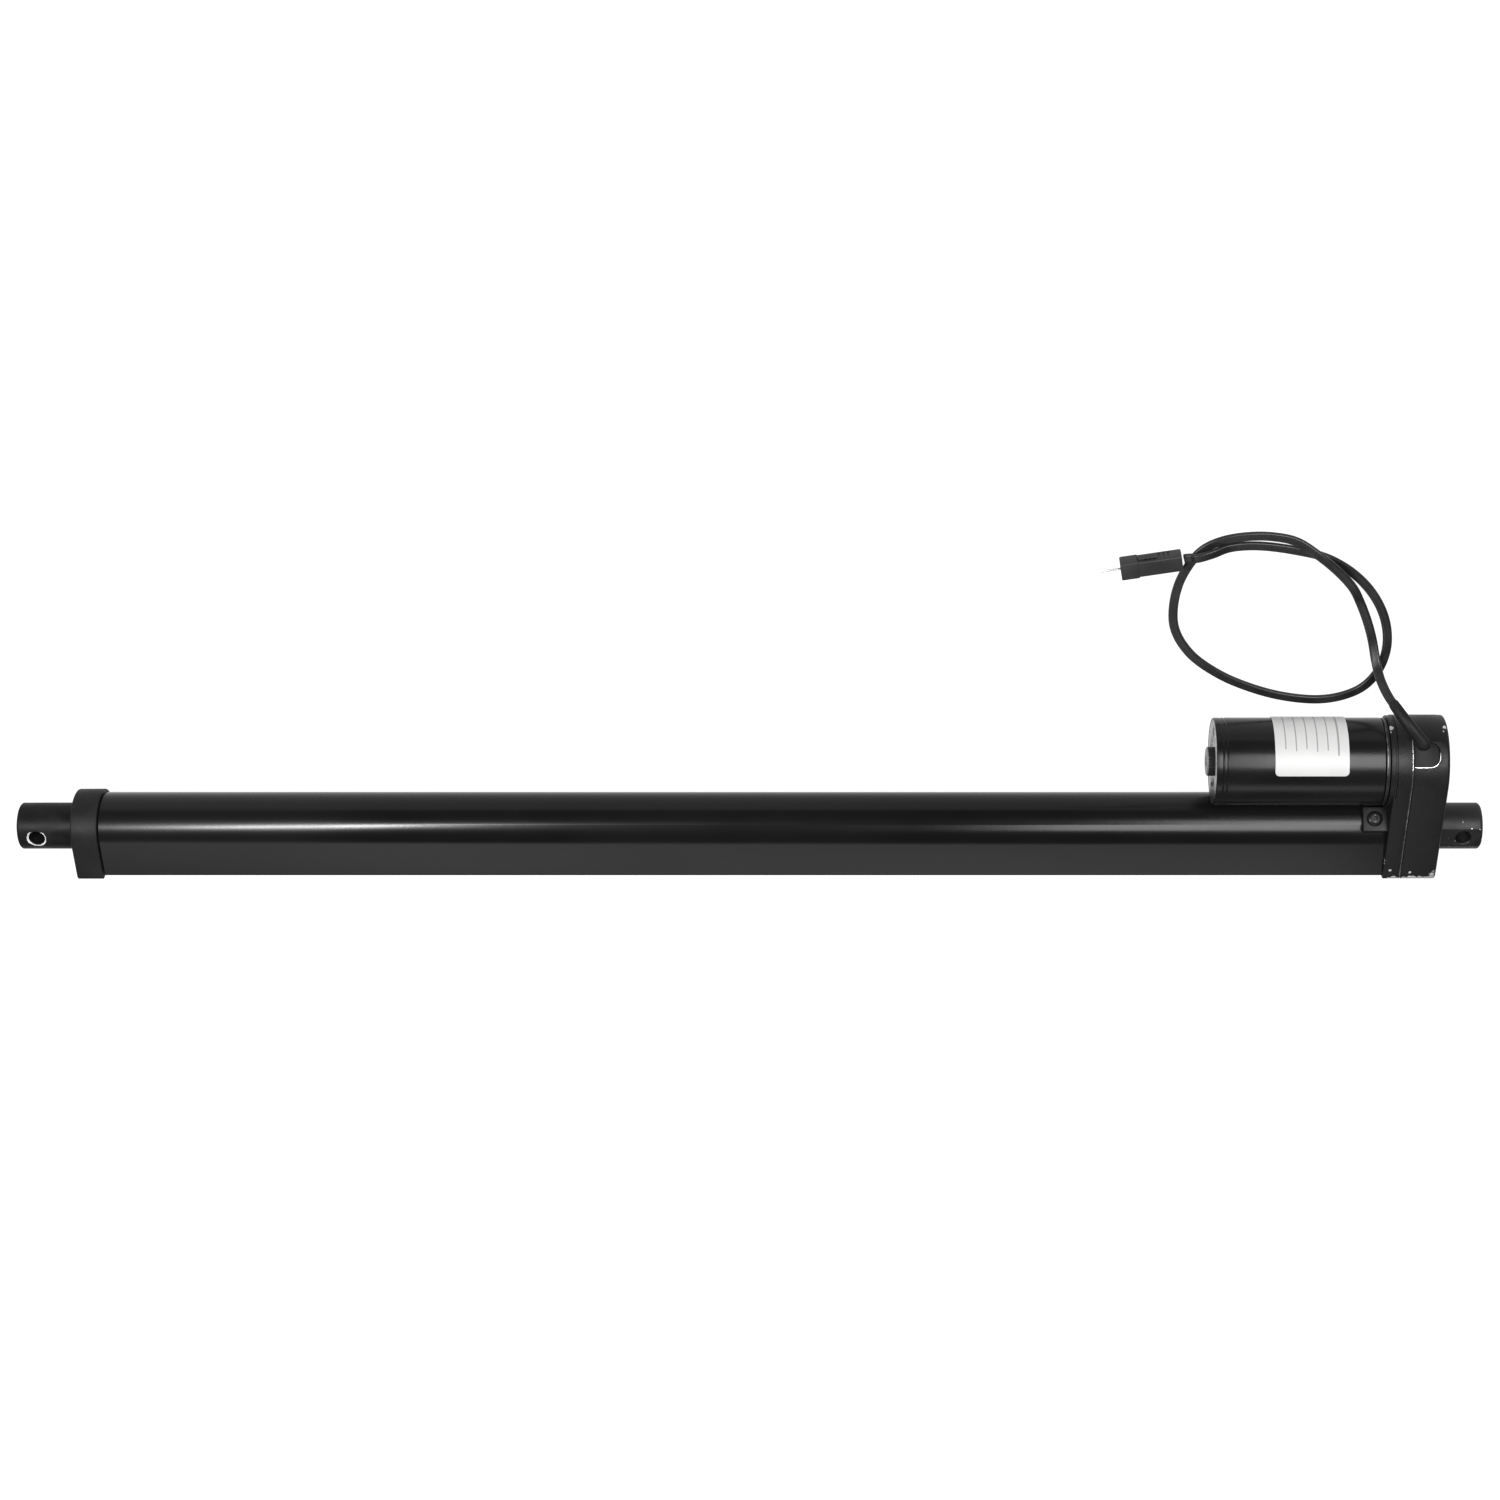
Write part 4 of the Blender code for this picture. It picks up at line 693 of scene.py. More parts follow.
# The route of part.py in millimetres, from the grommet to the connector
CORD_ROUTE = (
    (-284.1, -33.2, 33.1),
    (-278.0, -39.8, 30.4),
    (-273.4, -44.2, 25.2),
    (-269.9, -46.9, 18.5),
    (-267.2, -50.9, 11.5),
    (-265.6, -56.2, 5.4),
    (-263.7, -64.9, 2.0),
    (-260.8, -74.0, 1.9),
    (-257.0, -83.4, 2.8),
    (-252.6, -92.4, 5.3),
    (-246.0, -100.2, 5.9),
    (-237.8, -107.4, 5.7),
    (-228.4, -112.8, 3.0),
    (-218.4, -114.7, 1.9),
    (-207.8, -114.8, 1.9),
    (-197.6, -112.8, 1.9),
    (-189.6, -108.4, 1.9),
    (-184.4, -101.2, 1.9),
    (-180.6, -92.0, 1.9),
    (-179.0, -81.0, 1.9),
    (-180.0, -70.6, 1.9),
    (-184.8, -61.0, 1.9),
    (-192.8, -52.6, 1.9),
    (-206.6, -43.9, 1.9),
    (-225.4, -37.0, 1.9),
    (-244.2, -34.8, 1.9),
    (-258.6, -38.8, 1.9),
    (-266.8, -47.4, 1.9),
    (-270.2, -60.0, 1.9),
    (-268.6, -73.4, 1.9),
    (-262.8, -86.0, 1.9),
    (-253.6, -96.6, 1.9),
    (-241.6, -104.4, 1.9),
    (-228.0, -108.2, 1.9),
    (-213.4, -110.3, 1.9),
    (-201.6, -109.9, 2.4),
    (-193.6, -108.3, 5.1),
    (-187.4, -106.6, 5.7),
    (-184.6, -106.0, 4.3),
    (-181.9, -105.3, 3.6),
)
CORD_WIDTH = 4.0
CORD_LOBE = 1.25
CORD_DROP = 0.55
CORD_SIDES = 24
CONNECTOR_START = (-181.1, -105.0)
CONNECTOR_HEADING_DEG = 9.6
CONNECTOR_SIZE = (25.6, 7.2, 7.0)
PIN_RADIUS, PIN_LENGTH, PIN_DEPTH = 0.5, 8.3, 5.0


def smooth_route(points, steps=8):
    """A smooth curve through points."""
    spots = [Vector(point) for point in points]
    spots = [2 * spots[0] - spots[1]] + spots + [2 * spots[-1] - spots[-2]]
    route = []
    for a, b, c, d in zip(spots, spots[1:], spots[2:], spots[3:]):
        for i in range(steps):
            t = i / steps
            bend = (2 * a - 5 * b + 4 * c - d) * t * t + (3 * b - a - 3 * c + d) * t**3
            route.append(b + ((c - a) * t + bend) / 2)
    route.append(spots[-2])
    return route


def route_headings(route):
    """The way a route heads at each of its points."""
    headings = []
    for i in range(len(route)):
        before, after = route[max(i - 1, 0)], route[min(i + 1, len(route) - 1)]
        headings.append((after - before).normalized())
    return headings


def sweep(name, route, section, sides):
    """A body along a route, whose section(i, angle) gives (side, up), with its up side kept uppermost."""
    headings = route_headings(route)
    upward = Vector((0, 0, 1))
    side = headings[0].cross(upward).normalized()
    points = []
    for i, (spot, heading) in enumerate(zip(route, headings)):
        level = heading.cross(upward)
        if level.length > 0.35:
            side = side.lerp(level.normalized(), 0.5)
        side = (side - heading * side.dot(heading)).normalized()
        up = side.cross(heading)
        for k in range(sides):
            across, height = section(i, 2 * math.pi * k / sides)
            points.append(spot + side * across + up * height)
    return smooth(mesh_object(name, points, skin(len(route), sides)), angle=50)


def twin_lead(angle):
    """(side, up) of a twin lead's outline: two round lobes with a groove between them above and below."""
    side, up = math.cos(angle), math.sin(angle)
    groove = 1 - 0.24 * math.exp(-((side * 2.6) ** 2))
    return (CORD_WIDTH / 2 - CORD_LOBE) * math.tanh(side * 4) + CORD_LOBE * side, CORD_LOBE * up * groove


def add_cord():
    route = smooth_route(CORD_ROUTE)

    def section(i, angle):
        across, height = twin_lead(angle)
        return across, height - CORD_DROP

    cord = sweep("power_cord_lead", route, section, CORD_SIDES)
    dark, light = (0.005, 0.005, 0.0052), (0.010, 0.010, 0.0102)
    jacket = moulded("cord_jacket", dark, light, 0.36, grain=1600, depth=0.01)
    place(cord, jacket, "root", "cord_jacket", "power_cord")
    connector = add_connector()


def pocket_block(name, inset, bottom, top, front):
    """The cord pocket's shape between two heights off the motor axis, with round corners at its rear."""
    half, corner = POCKET_HALF_WIDTH - inset, POCKET_CORNER - inset
    rear = POCKET_REAR + inset
    outline = [(front, half), (front, -half)]
    for centre, start in ((-half + corner, -90.0), (half - corner, -180.0)):
        for i in range(13):
            angle = math.radians(start - 7.5 * i)
            outline.append((rear + corner + corner * math.cos(angle), centre + corner * math.sin(angle)))
    turn = math.radians(POCKET_MIDDLE_DEG)
    points = []
    for height in (bottom, top):
        for x, across in outline:
            y = across * math.cos(turn) - height * math.sin(turn)
            z = across * math.sin(turn) + height * math.cos(turn)
            points.append((x, MOTOR_AXIS[0] + y, MOTOR_AXIS[1] + z))
    return smooth(mesh_object(name, points, skin(2, len(outline))))


BOOT_LENGTH = 22.0
BOOT_START = (-284.6, -30.9, 30.4)


def add_strain_relief():
    """The rubber block in the cover's pocket, and the boot that tapers along the cord's first stretch."""
    route = smooth_route(CORD_ROUTE)
    count = next(i for i, spot in enumerate(route) if (spot - route[0]).length > BOOT_LENGTH)
    start = Vector(BOOT_START)
    inside = []
    for k in range(6):
        rise = Vector((0, 0, 0.9 * math.sin(math.pi * k / 6)))
        inside.append(start.lerp(route[0], k / 6) + rise)
    spots = inside + route[:count]

    def section(i, angle):
        share = i / (len(spots) - 1)
        wide, tall = 2.75 - 0.4 * share, 2.45 - 0.75 * share
        if i == len(spots) - 1:
            wide, tall = wide - 0.25, tall - 0.25
        return wide * math.cos(angle), tall * math.sin(angle) - CORD_DROP * share

    boot = sweep("cord_strain_relief", spots, section, 36)
    front = span("gearbox_cover", 0)[1] - 0.15
    fuse(boot, pocket_block("strain_relief_block", 0.15, 13.6, 18.7, front))
    bevel_edges(boot, 0.35, 40)
    dark, light = (0.004, 0.004, 0.0042), (0.008, 0.008, 0.0082)
    rubber = moulded("soft_rubber", dark, light, 0.5, grain=1300, depth=0.02, specular=0.1)
    place(smooth(boot, 40), rubber, "root", "rubber", "cord_grommet")


def bevel_edges(obj, width, angle, segments=2):
    """Rounds the edges of a body that are sharper than an angle."""
    step = obj.modifiers.new("edges", "BEVEL")
    step.width = width * MM
    step.segments = segments
    step.limit_method = "ANGLE"
    step.angle_limit = math.radians(angle)
    return baked(obj)


def add_connector():
    """The plug on the cord's end: a ribbed body with a latch, one slim pin and one socket."""
    length, width, height = CONNECTOR_SIZE
    half = width / 2
    body = block("connector_shell", (0, -half, 0.05), (length, half, height), edge=0.7)
    collar_low = (length - 7.5, -half - 0.25, 0.0)
    collar = block("connector_collar", collar_low, (length + 0.05, half + 0.25, height + 0.2), edge=0.5)
    latch = block("connector_latch", (10.0, -half - 0.9, 1.8), (18.2, -half + 1, 5.2), edge=0.45)
    fuse(body, collar, latch)
    for i in range(6):
        x = 5.0 + i * 1.9
        for side in (-1, 1):
            low = (x, side * half - 0.35, 1.0)
            carve(body, block("connector_rib", low, (x + 0.8, side * half + 0.35, height - 1.0), edge=0.15))
    middle = height / 2
    pin_seat = drum("pin_seat", (length - PIN_DEPTH, 0, middle), (length + 2, 0, middle), 1.1)
    socket = drum("socket", (length - 9, 2.3, middle), (length + 2, 2.3, middle), 0.9)
    carve(body, pin_seat, socket)
    pin_ends = (length - PIN_DEPTH, 0, middle), (length + PIN_LENGTH, 0, middle)
    pin = drum("connector_contact", *pin_ends, PIN_RADIUS, 24)
    bevel_edges(pin, 0.18, 40)
    heading = Matrix.Rotation(math.radians(CONNECTOR_HEADING_DEG), 4, "Z")
    move = Matrix.Translation((CONNECTOR_START[0] * MM, CONNECTOR_START[1] * MM, 0)) @ heading
    for piece in (body, pin):
        piece.data.transform(move)
        smooth(piece)
    plastic = moulded("connector_plastic", (0.007, 0.007, 0.0072), (0.012, 0.012, 0.0122), 0.50)
    place(body, plastic, "root", "connector_plastic", "connector_body")
    tinned = machined("tinned_pin", (0.75, 0.75, 0.75), (0.50, 0.50, 0.51), 0.3)
    place(pin, tinned, "root", "tinned_pin", "connector_pin")
    return [body, pin]


add_cord()
add_strain_relief()


# ---------------------------------------------------------------- tube, front cap and rod

ROD_RADIUS = radius_of("extension_rod")
TUBE_RADIUS = ROD_AXIS[0] - span("outer_tube", 1)[0]
TUBE_BASE = span("outer_tube", 1)[1] - ROD_AXIS[0]
CAP_RADIUS = ROD_AXIS[0] - span("front_end_cap", 1)[0]
CAP_BASE = span("front_end_cap", 1)[1] - ROD_AXIS[0]
TUBE_CORNER, TUBE_INNER_CORNER, TUBE_WALL = 1.2, 0.6, 2.0
CAP_CORNER = 1.5
LUG_SCREW_X = -267.1
LUG_ANGLES_DEG = (45.0, 135.0)
LUG_TOP = 17.2
GAP = 0.3


def d_shape(radius, base, corner):
    """The circles of the tube's section: half round towards the motor, with round corners at its base."""
    side = radius - corner
    return [(0, 0, radius), (base - corner, -side, corner), (base - corner, side, corner)]


def lug_screw_holes():
    """Cutters for the screws that hold the gearbox's two lugs to the tube."""
    holes = []
    for turn_deg in LUG_ANGLES_DEG:
        out = outward(turn_deg)
        foot = Vector((LUG_SCREW_X, *ROD_AXIS))
        holes.append(drum("screw_hole", foot + out * 9.3, foot + out * 20, 1.9, 32))
    return holes


def outward(turn_deg):
    """The way away from an axis along X, at an angle from +Z towards -Y."""
    return Vector((0, -math.sin(math.radians(turn_deg)), math.cos(math.radians(turn_deg))))


def add_tube():
    rear, front = span("outer_tube", 0)
    outside = d_shape(TUBE_RADIUS, TUBE_BASE, TUBE_CORNER)
    tube = prism("outer_tube_shell", ROD_AXIS, outside, front, rear, 0.3, 0.3)
    inside = d_shape(TUBE_RADIUS - TUBE_WALL, TUBE_BASE - TUBE_WALL, TUBE_INNER_CORNER)
    carve(tube, prism("tube_inside", ROD_AXIS, inside, front + 2, rear - 2, 0, 0), *lug_screw_holes())
    place(smooth(tube), tube_paint(), "root", "tube_paint", "outer_tube")


def add_front_cap():
    rear, front = span("front_end_cap", 0)
    wiper_rear = span("rod_wiper_seal", 0)[0]
    bush_radius, wiper_radius = radius_of("front_guide_bush"), radius_of("rod_wiper_seal")
    shoulder = span("outer_tube", 0)[1] + GAP
    outline = d_shape(CAP_RADIUS, CAP_BASE, CAP_CORNER)
    cap = prism("front_cap_moulding", ROD_AXIS, outline, front, shoulder, 0.75, 0.35)
    inner_radius = TUBE_RADIUS - TUBE_WALL - GAP
    inner = d_shape(inner_radius, TUBE_BASE - TUBE_WALL - GAP, TUBE_INNER_CORNER)
    fuse(cap, prism("cap_spigot", ROD_AXIS, inner, shoulder + 2, rear, 0, 0.5))
    carve(
        cap,
        bore("cap_bore", rear - 1, front + 1, ROD_AXIS, bush_radius + GAP, 96),
        bore("cap_seat", wiper_rear - GAP, front + 1, ROD_AXIS, wiper_radius + GAP, 96),
    )
    dark, light = (0.006, 0.006, 0.0062), (0.009, 0.009, 0.0092)
    matt = moulded("cap_moulding", dark, light, 0.48, grain=900, depth=0.03, specular=0.08)
    place(bevel_edges(smooth(cap), 0.12, 50), matt, "root", "cap_plastic", "front_end_cap")
    smooth(cap)


def add_wiper():
    """The rubber wiper: a lip that stands proud round the rod, on a flat ring in the cap."""
    rear, front = span("rod_wiper_seal", 0)
    outer, bore = radius_of("rod_wiper_seal"), ROD_RADIUS + 0.2
    profile = [
        (front, bore, 0.1),
        (front, bore + 0.5, 0.2),
        (front - 0.9, bore + 1.0, 0.3),
        (front - 0.9, outer, 0.3),
        (rear, outer, 0.2),
        (rear, bore, 0.1),
    ]
    wiper = turned("rod_wiper_lip", ROD_AXIS, profile, closed=True)
    rubber = moulded("wiper_rubber", (0.005, 0.005, 0.005), (0.008, 0.008, 0.008), 0.6)
    place(wiper, rubber, "root", "rubber", "rod_wiper_seal")


def add_rod():
    """The painted tube that slides, with its pin hole at the drive nut and a fine edge at each end."""
    rear, front = span("extension_rod", 0)
    nut_front = span("drive_nut", 0)[1]
    radius, neck, bore = ROD_RADIUS, 8.6, 7.0
    profile = [
        (front, bore, 0),
        (front, radius, 0.2),
        (nut_front + GAP, radius, 0.3),
        (nut_front + GAP, neck, 0),
        (rear, neck, 0.3),
        (rear, bore, 0),
    ]
    rod = turned("sliding_rod_tube", ROD_AXIS, profile, closed=True)
    pin_x = sum(span("nut_pin", 0)) / 2
    y, z = ROD_AXIS
    carve(rod, drum("rod_pin_hole", (pin_x, y, z + 5), (pin_x, y, z + 12), 1.3, 32))
    f = Finish("sliding_rod_paint", (0.0045, 0.0045, 0.0047), 0.34, specular=0.10)
    scratches = f.noise(600, (0.02, 1, 1), detail=3)
    f.clouded(scratches, 0.55, 0.8, 0.7, (0.03, 0.03, 0.031), 0.20, 0.34)
    f.bump(scratches, 0.008)
    place(smooth(rod), f.material, "rod", "rod_paint", "extension_rod")


def pin_hole_cutter(x, z_low, z_high, rim_radius):
    """A cross-pin hole with a countersunk rim at both of its ends."""
    y = ROD_AXIS[0]
    cutter = drum("pin_hole", (x, y, z_low - 5), (x, y, z_high + 5), PIN_HOLE_RADIUS, 64)
    if rim_radius <= PIN_HOLE_RADIUS:
        return cutter
    depth = rim_radius - PIN_HOLE_RADIUS
    for face, way in ((z_high, 1), (z_low, -1)):
        bottom, mouth = (x, y, face - way * depth), (x, y, face + way * 3)
        fuse(cutter, cone("countersink", bottom, mouth, PIN_HOLE_RADIUS, rim_radius + 3))
    return cutter


def cone(name, start, end, start_radius, end_radius, steps=64):
    """A cone between two points in millimetres, made from a drum of radius 1."""
    start, end = Vector(start), Vector(end)
    obj = drum(name, start, end, 1.0, steps)
    way = (end - start).normalized()
    for vertex in obj.data.vertices:
        spot = vertex.co / MM - start
        along = spot.dot(way)
        share = along / (end - start).length
        radius = start_radius + (end_radius - start_radius) * share
        vertex.co = (start + way * along + (spot - way * along) * radius) * MM
    return obj


def add_rod_end():
    """The solid eye in the rod's front end, with a bright countersink at its cross-pin hole."""
    rear, front = span("rod_end", 0)
    shoulder = span("extension_rod", 0)[1] + GAP
    radius = ROD_RADIUS
    profile = [
        (front, 0, 0),
        (front, radius - 0.6, 0.2),
        (front - 0.6, radius, 0.2),
        (shoulder, radius, 0.15),
        (shoulder, 6.7, 0),
        (rear, 6.7, 0.4),
        (rear, 0, 0),
    ]
    eye = turned("rod_end_eye", ROD_AXIS, profile)
    z = ROD_AXIS[1]
    carve(eye, pin_hole_cutter(FRONT_HOLE_X, z - radius, z + radius, HOLE_RIM_RADIUS))
    paint = rod_paint("rod_end_paint", FRONT_HOLE_X, HOLE_RIM_RADIUS, 0.07)
    place(smooth(eye), paint, "rod", "rod_paint", "rod_end")


def add_clevis():
    """The rear eye: a round stub with two flats and a cross-pin hole."""
    rear, front = span("rear_clevis", 0)
    radius = radius_of("rear_clevis")
    wall = span("gearbox_cover", 0)[0]
    profile = [
        (-296.0, 0, 0),
        (-296.0, 4.4, 0),
        (front, 4.4, 0.2),
        (front, 9.0, 0.2),
        (front - 1.8, 9.0, 0.2),
        (front - 1.8, 7.0, 0),
        (wall - GAP, 7.0, 0),
        (wall - GAP, radius, 0.3),
        (rear + 1.0, radius, 0.4),
        (rear, radius - 1.0, 0.4),
        (rear, 0, 0),
    ]
    clevis = turned("rear_eye", ROD_AXIS, profile)
    y, z = ROD_AXIS
    for side in (-1, 1):
        near, far = sorted((z + side * CLEVIS_FLAT, z + side * 14))
        carve(clevis, block("clevis_flat", (rear - 2, y - 12, near), (wall - GAP - 0.4, y + 12, far)))
    carve(clevis, pin_hole_cutter(REAR_HOLE_X, z - CLEVIS_FLAT, z + CLEVIS_FLAT, PIN_HOLE_RADIUS + 0.35))
    bevel_edges(clevis, 0.2, 40)
    paint = rod_paint("rear_eye_paint", REAR_HOLE_X, PIN_HOLE_RADIUS, 0.20)
    place(smooth(clevis), paint, "root", "rod_paint", "rear_clevis")


CLEVIS_FLAT = 9.0

add_tube()
add_front_cap()
add_wiper()
add_rod()
add_rod_end()
add_clevis()


# ---------------------------------------------------------------- gearbox

HOUSING_RADIUS = 20.0
HOUSING_BASE, HOUSING_HALF_WIDTH = 17.5, 16.0
COLLAR_FRONT = -272.5
SCREW_HEAD_RADIUS, SCREW_SEAT_RADIUS, SCREW_HEAD_HEIGHT = 2.55, 3.05, 2.1
LUG_HALF_WIDTH = 5.4


def gearbox_shape(inset=0.0):
    """The circles of the gearbox's section: round at the motor and narrower at its flat base."""
    corner = max(BASE_CORNER - inset, 0.6)
    base, side = HOUSING_BASE - inset - corner, HOUSING_HALF_WIDTH - inset - corner
    return [(-MOTOR_OFFSET, 0, HOUSING_RADIUS - inset), (base, -side, corner), (base, side, corner)]


def cover_screw_spots():
    return [middle(f"cover_screw_{number}") for number in (1, 2, 3, 4)]


def add_housing():
    """The front casting: a collar and two lugs on the tube, the motor's seat and the gear plate."""
    rear, front = span("gearbox_housing", 0)
    seat_front = span("motor_flange", 0)[0] - GAP
    web_front = span("outer_tube", 0)[0] - GAP
    body = prism("gearbox_front_casting", ROD_AXIS, gearbox_shape(), COLLAR_FRONT, rear, 0.55, 0.22)
    seat = turned("motor_seat", MOTOR_AXIS, [
        (seat_front, 0, 0),
        (seat_front, HOUSING_RADIUS - 0.3, 0.3),
        (seat_front - 2.6, HOUSING_RADIUS - 0.3, 0),
        (seat_front - 2.6, 0, 0),
    ])
    fuse(body, seat)
    for turn_deg in LUG_ANGLES_DEG:
        fuse(body, lug(turn_deg, front))
    socket = d_shape(TUBE_RADIUS + 0.2, TUBE_BASE + 0.2, TUBE_CORNER)
    carve(body, prism("tube_socket", ROD_AXIS, socket, front + 5, web_front, 0, 0))
    hub_front = -262.3
    fuse(body, turned("bearing_hub", ROD_AXIS, [
        (hub_front, 0, 0),
        (hub_front, TUBE_RADIUS - TUBE_WALL - 0.4, 0.5),
        (web_front - 1, TUBE_RADIUS - TUBE_WALL - 0.4, 0),
        (web_front - 1, 0, 0),
    ]))
    seam = seat_front - 2.6
    groove = [(seam + 0.18, 19.4, 0), (seam + 0.18, 21, 0), (seam - 0.18, 21, 0), (seam - 0.18, 19.4, 0)]
    y, z = MOTOR_AXIS[0], ROD_AXIS[1]
    low, high = (seam - 1, y - 21, z - 21), (seam + 1, y + 6, z + 21)
    parting = block("seam_reach", low, high)
    ring = turned("seat_seam", MOTOR_AXIS, groove, closed=True)
    carve(body, combine(ring, [parting], "INTERSECT"))
    bearing_rear = span("bearing_outer_race", 0)[0]
    carve(
        body,
        bore("bearing_seat", bearing_rear - GAP, hub_front + 1, ROD_AXIS, 8.3, 96),
        bore("screw_passage", rear - 1, hub_front + 1, ROD_AXIS, 6.2, 96),
        bore("motor_nose", rear - 1, seat_front + 1, MOTOR_AXIS, 6.0, 96),
        *lug_screw_holes(),
    )
    pin = middle("idler_pin")
    carve(body, bore("idler_seat", rear - 1, span("idler_pin", 0)[1] + 0.4, pin, 1.8, 32))
    for number in (1, 2):
        for spot, reach in ((middle(f"motor_screw_{number}"), 1.6), (lead_spot(number), 1.1)):
            carve(body, bore("passage", rear - 1, seat_front + 1, spot, reach, 32))
    for spot in cover_screw_spots():
        carve(body, bore("thread", rear - 1, -275.2, spot, 1.7, 32))
    place(smooth(body, 28), housing_paint(), "root", "casting_paint", "gearbox_housing")


LEAD_OFFSET = 10.8
LEAD_ANGLES_DEG = (36.0, 50.0)


def lead_spot(number):
    """The (y, z) of a motor lead where it passes through the front casting."""
    out = outward(LEAD_ANGLES_DEG[number - 1]) * LEAD_OFFSET
    return MOTOR_AXIS[0] + out.y, MOTOR_AXIS[1] + out.z


def lug(turn_deg, front):
    """A flat lug on the tube that a screw goes through, with a rounded outline."""
    y, z = ROD_AXIS
    low = (COLLAR_FRONT - 1.0, y - LUG_HALF_WIDTH, z + 9)
    high = (front, y + LUG_HALF_WIDTH, z + LUG_TOP)
    return block("tube_lug", low, high, edge=0.7, about=ROD_AXIS, turn_deg=turn_deg)


def add_cover():
    """The rear casting: a cup over the gears, with screw bosses, a cord pocket and a hole for the clevis."""
    rear, front = span("gearbox_cover", 0)
    body = prism("gearbox_rear_casting", ROD_AXIS, gearbox_shape(), front, rear, 0.22, 1.3)
    carve(body, prism("gear_space", ROD_AXIS, gearbox_shape(2.2), front + 2, rear + 2.3, 0, 0.4))
    for spot in cover_screw_spots():
        fuse(body, bore("boss", rear + 1.5, front, spot, 3.2, 48))
    idler = middle("idler_pin")
    fuse(body, bore("idler_boss", rear + 1.5, -290.8, idler, 3.4, 48))
    carve(
        body,
        bore("clevis_hole", rear - 1, -290, ROD_AXIS, 7.3, 96),
        bore("idler_seat", -293.4, -290, idler, 1.8, 32),
    )
    head_front = rear + SCREW_HEAD_HEIGHT + GAP
    for spot in cover_screw_spots():
        hole = bore("screw_hole", rear - 2, front + 2, spot, 1.8, 32)
        seat = bore("head_seat", rear - 2, head_front, spot, SCREW_SEAT_RADIUS, 48)
        carve(body, hole, seat)
    away = (Vector(cover_screw_spots()[0]) - Vector(MOTOR_AXIS)).normalized() * 2.4
    notch = Vector(cover_screw_spots()[0]) + away
    carve(body, bore("head_notch", rear - 2, head_front + 0.5, notch, 2.3, 48))
    carve(body, pocket_block("cord_pocket", 0, 11.0, 24.0, front + 1))
    bevel_edges(body, 0.16, 50)
    place(smooth(body, 28), cover_paint(), "root", "casting_paint", "gearbox_cover")


def add_cover_screws():
    """Socket-head screws sunk in the cover, with hexagon sockets."""
    finish = machined("screw_steel", (0.32, 0.32, 0.33), (0.10, 0.10, 0.10), 0.38)
    for number, spot in enumerate(cover_screw_spots(), 1):
        node = f"cover_screw_{number}"
        rear, tip = span(node, 0)
        under = rear + SCREW_HEAD_HEIGHT
        screw = turned(f"cover_cap_screw_{number}", spot, [
            (tip, 0, 0),
            (tip, 1.1, 0),
            (tip - 0.5, 1.5, 0.1),
            (under, 1.5, 0.1),
            (under, SCREW_HEAD_RADIUS, 0.1),
            (rear, SCREW_HEAD_RADIUS, 0.5),
            (rear, 0, 0),
        ], steps=64)
        carve(screw, bore("hexagon", rear - 1, rear + 1.3, spot, 1.45, 6))
        place(smooth(screw), finish, "root", "bright_steel", node)


def add_lug_screws():
    """Black button-head screws through the lugs, with hexagon sockets."""
    f = Finish("lug_screw_black", (0.005, 0.005, 0.005), 0.36, specular=0.12)
    grain = f.noise(700, detail=3)
    f.gloss(grain, 0.26, 0.42)
    f.bump(grain, 0.02)
    edges = f.add("ShaderNodeNewGeometry").outputs["Pointiness"]
    f.bare(f.fit(edges, 0.56, 0.62, 0.0, 0.5), colour=(0.3, 0.3, 0.3))
    top = LUG_TOP
    for number, turn_deg in enumerate(LUG_ANGLES_DEG, 1):
        profile = [
            (top + 1.9, 0, 0),
            (top + 1.9, 1.9, 0.35),
            (top + 1.45, 2.75, 0.3),
            (top + 0.75, 3.35, 0.3),
            (top + GAP, 3.4, 0.15),
            (top + GAP, 1.6, 0.1),
            (9.6, 1.6, 0.3),
            (9.6, 0, 0),
        ]
        screw = turned(f"lug_button_screw_{number}", (0, 0), profile, steps=64)
        carve(screw, drum("hexagon", (top + 0.6, 0, 0), (top + 3, 0, 0), 1.25, 6))
        foot = Vector((LUG_SCREW_X, *ROD_AXIS)) * MM
        out = outward(turn_deg)
        turn = out.to_track_quat("X", "Z").to_matrix().to_4x4()
        screw.data.transform(Matrix.Translation(foot) @ turn)
        place(smooth(screw), f.material, "root", "black_screw", f"lug_screw_{number}")


# ---------------------------------------------------------------- motor

MOTOR_RADIUS = radius_of("motor_can")
CAN_WALL, CAN_LIP = 1.3, 0.8
CAN_GROOVES = (-200.5, -202.3)
PLATE_DISH = 1.0
KNURLS = 24


def add_can():
    """The rolled steel can: a thin lip round the end plate, and two grooves rolled in behind it."""
    rear = span("motor_can", 0)[0]
    front = span("motor_end_plate", 0)[1]
    radius = MOTOR_RADIUS
    outside = [(front, radius - CAN_LIP, 0.1), (front, radius - 0.3, 0.2), (front - 0.3, radius, 0.2)]
    for x in CAN_GROOVES:
        outside += [(x + 0.35, radius, 0.1), (x, radius - 0.28, 0.15), (x - 0.35, radius, 0.1)]
    profile = outside + [
        (rear + 0.3, radius, 0.3),
        (rear, radius - 0.3, 0),
        (rear, radius - CAN_WALL, 0),
        (front - 3.2, radius - CAN_WALL, 0.1),
        (front - 3.2, radius - CAN_LIP, 0.1),
    ]
    can = turned("motor_can_shell", MOTOR_AXIS, profile, closed=True, steps=144)
    place(smooth(can), motor_paint(), "root", "motor_paint", "motor_can")


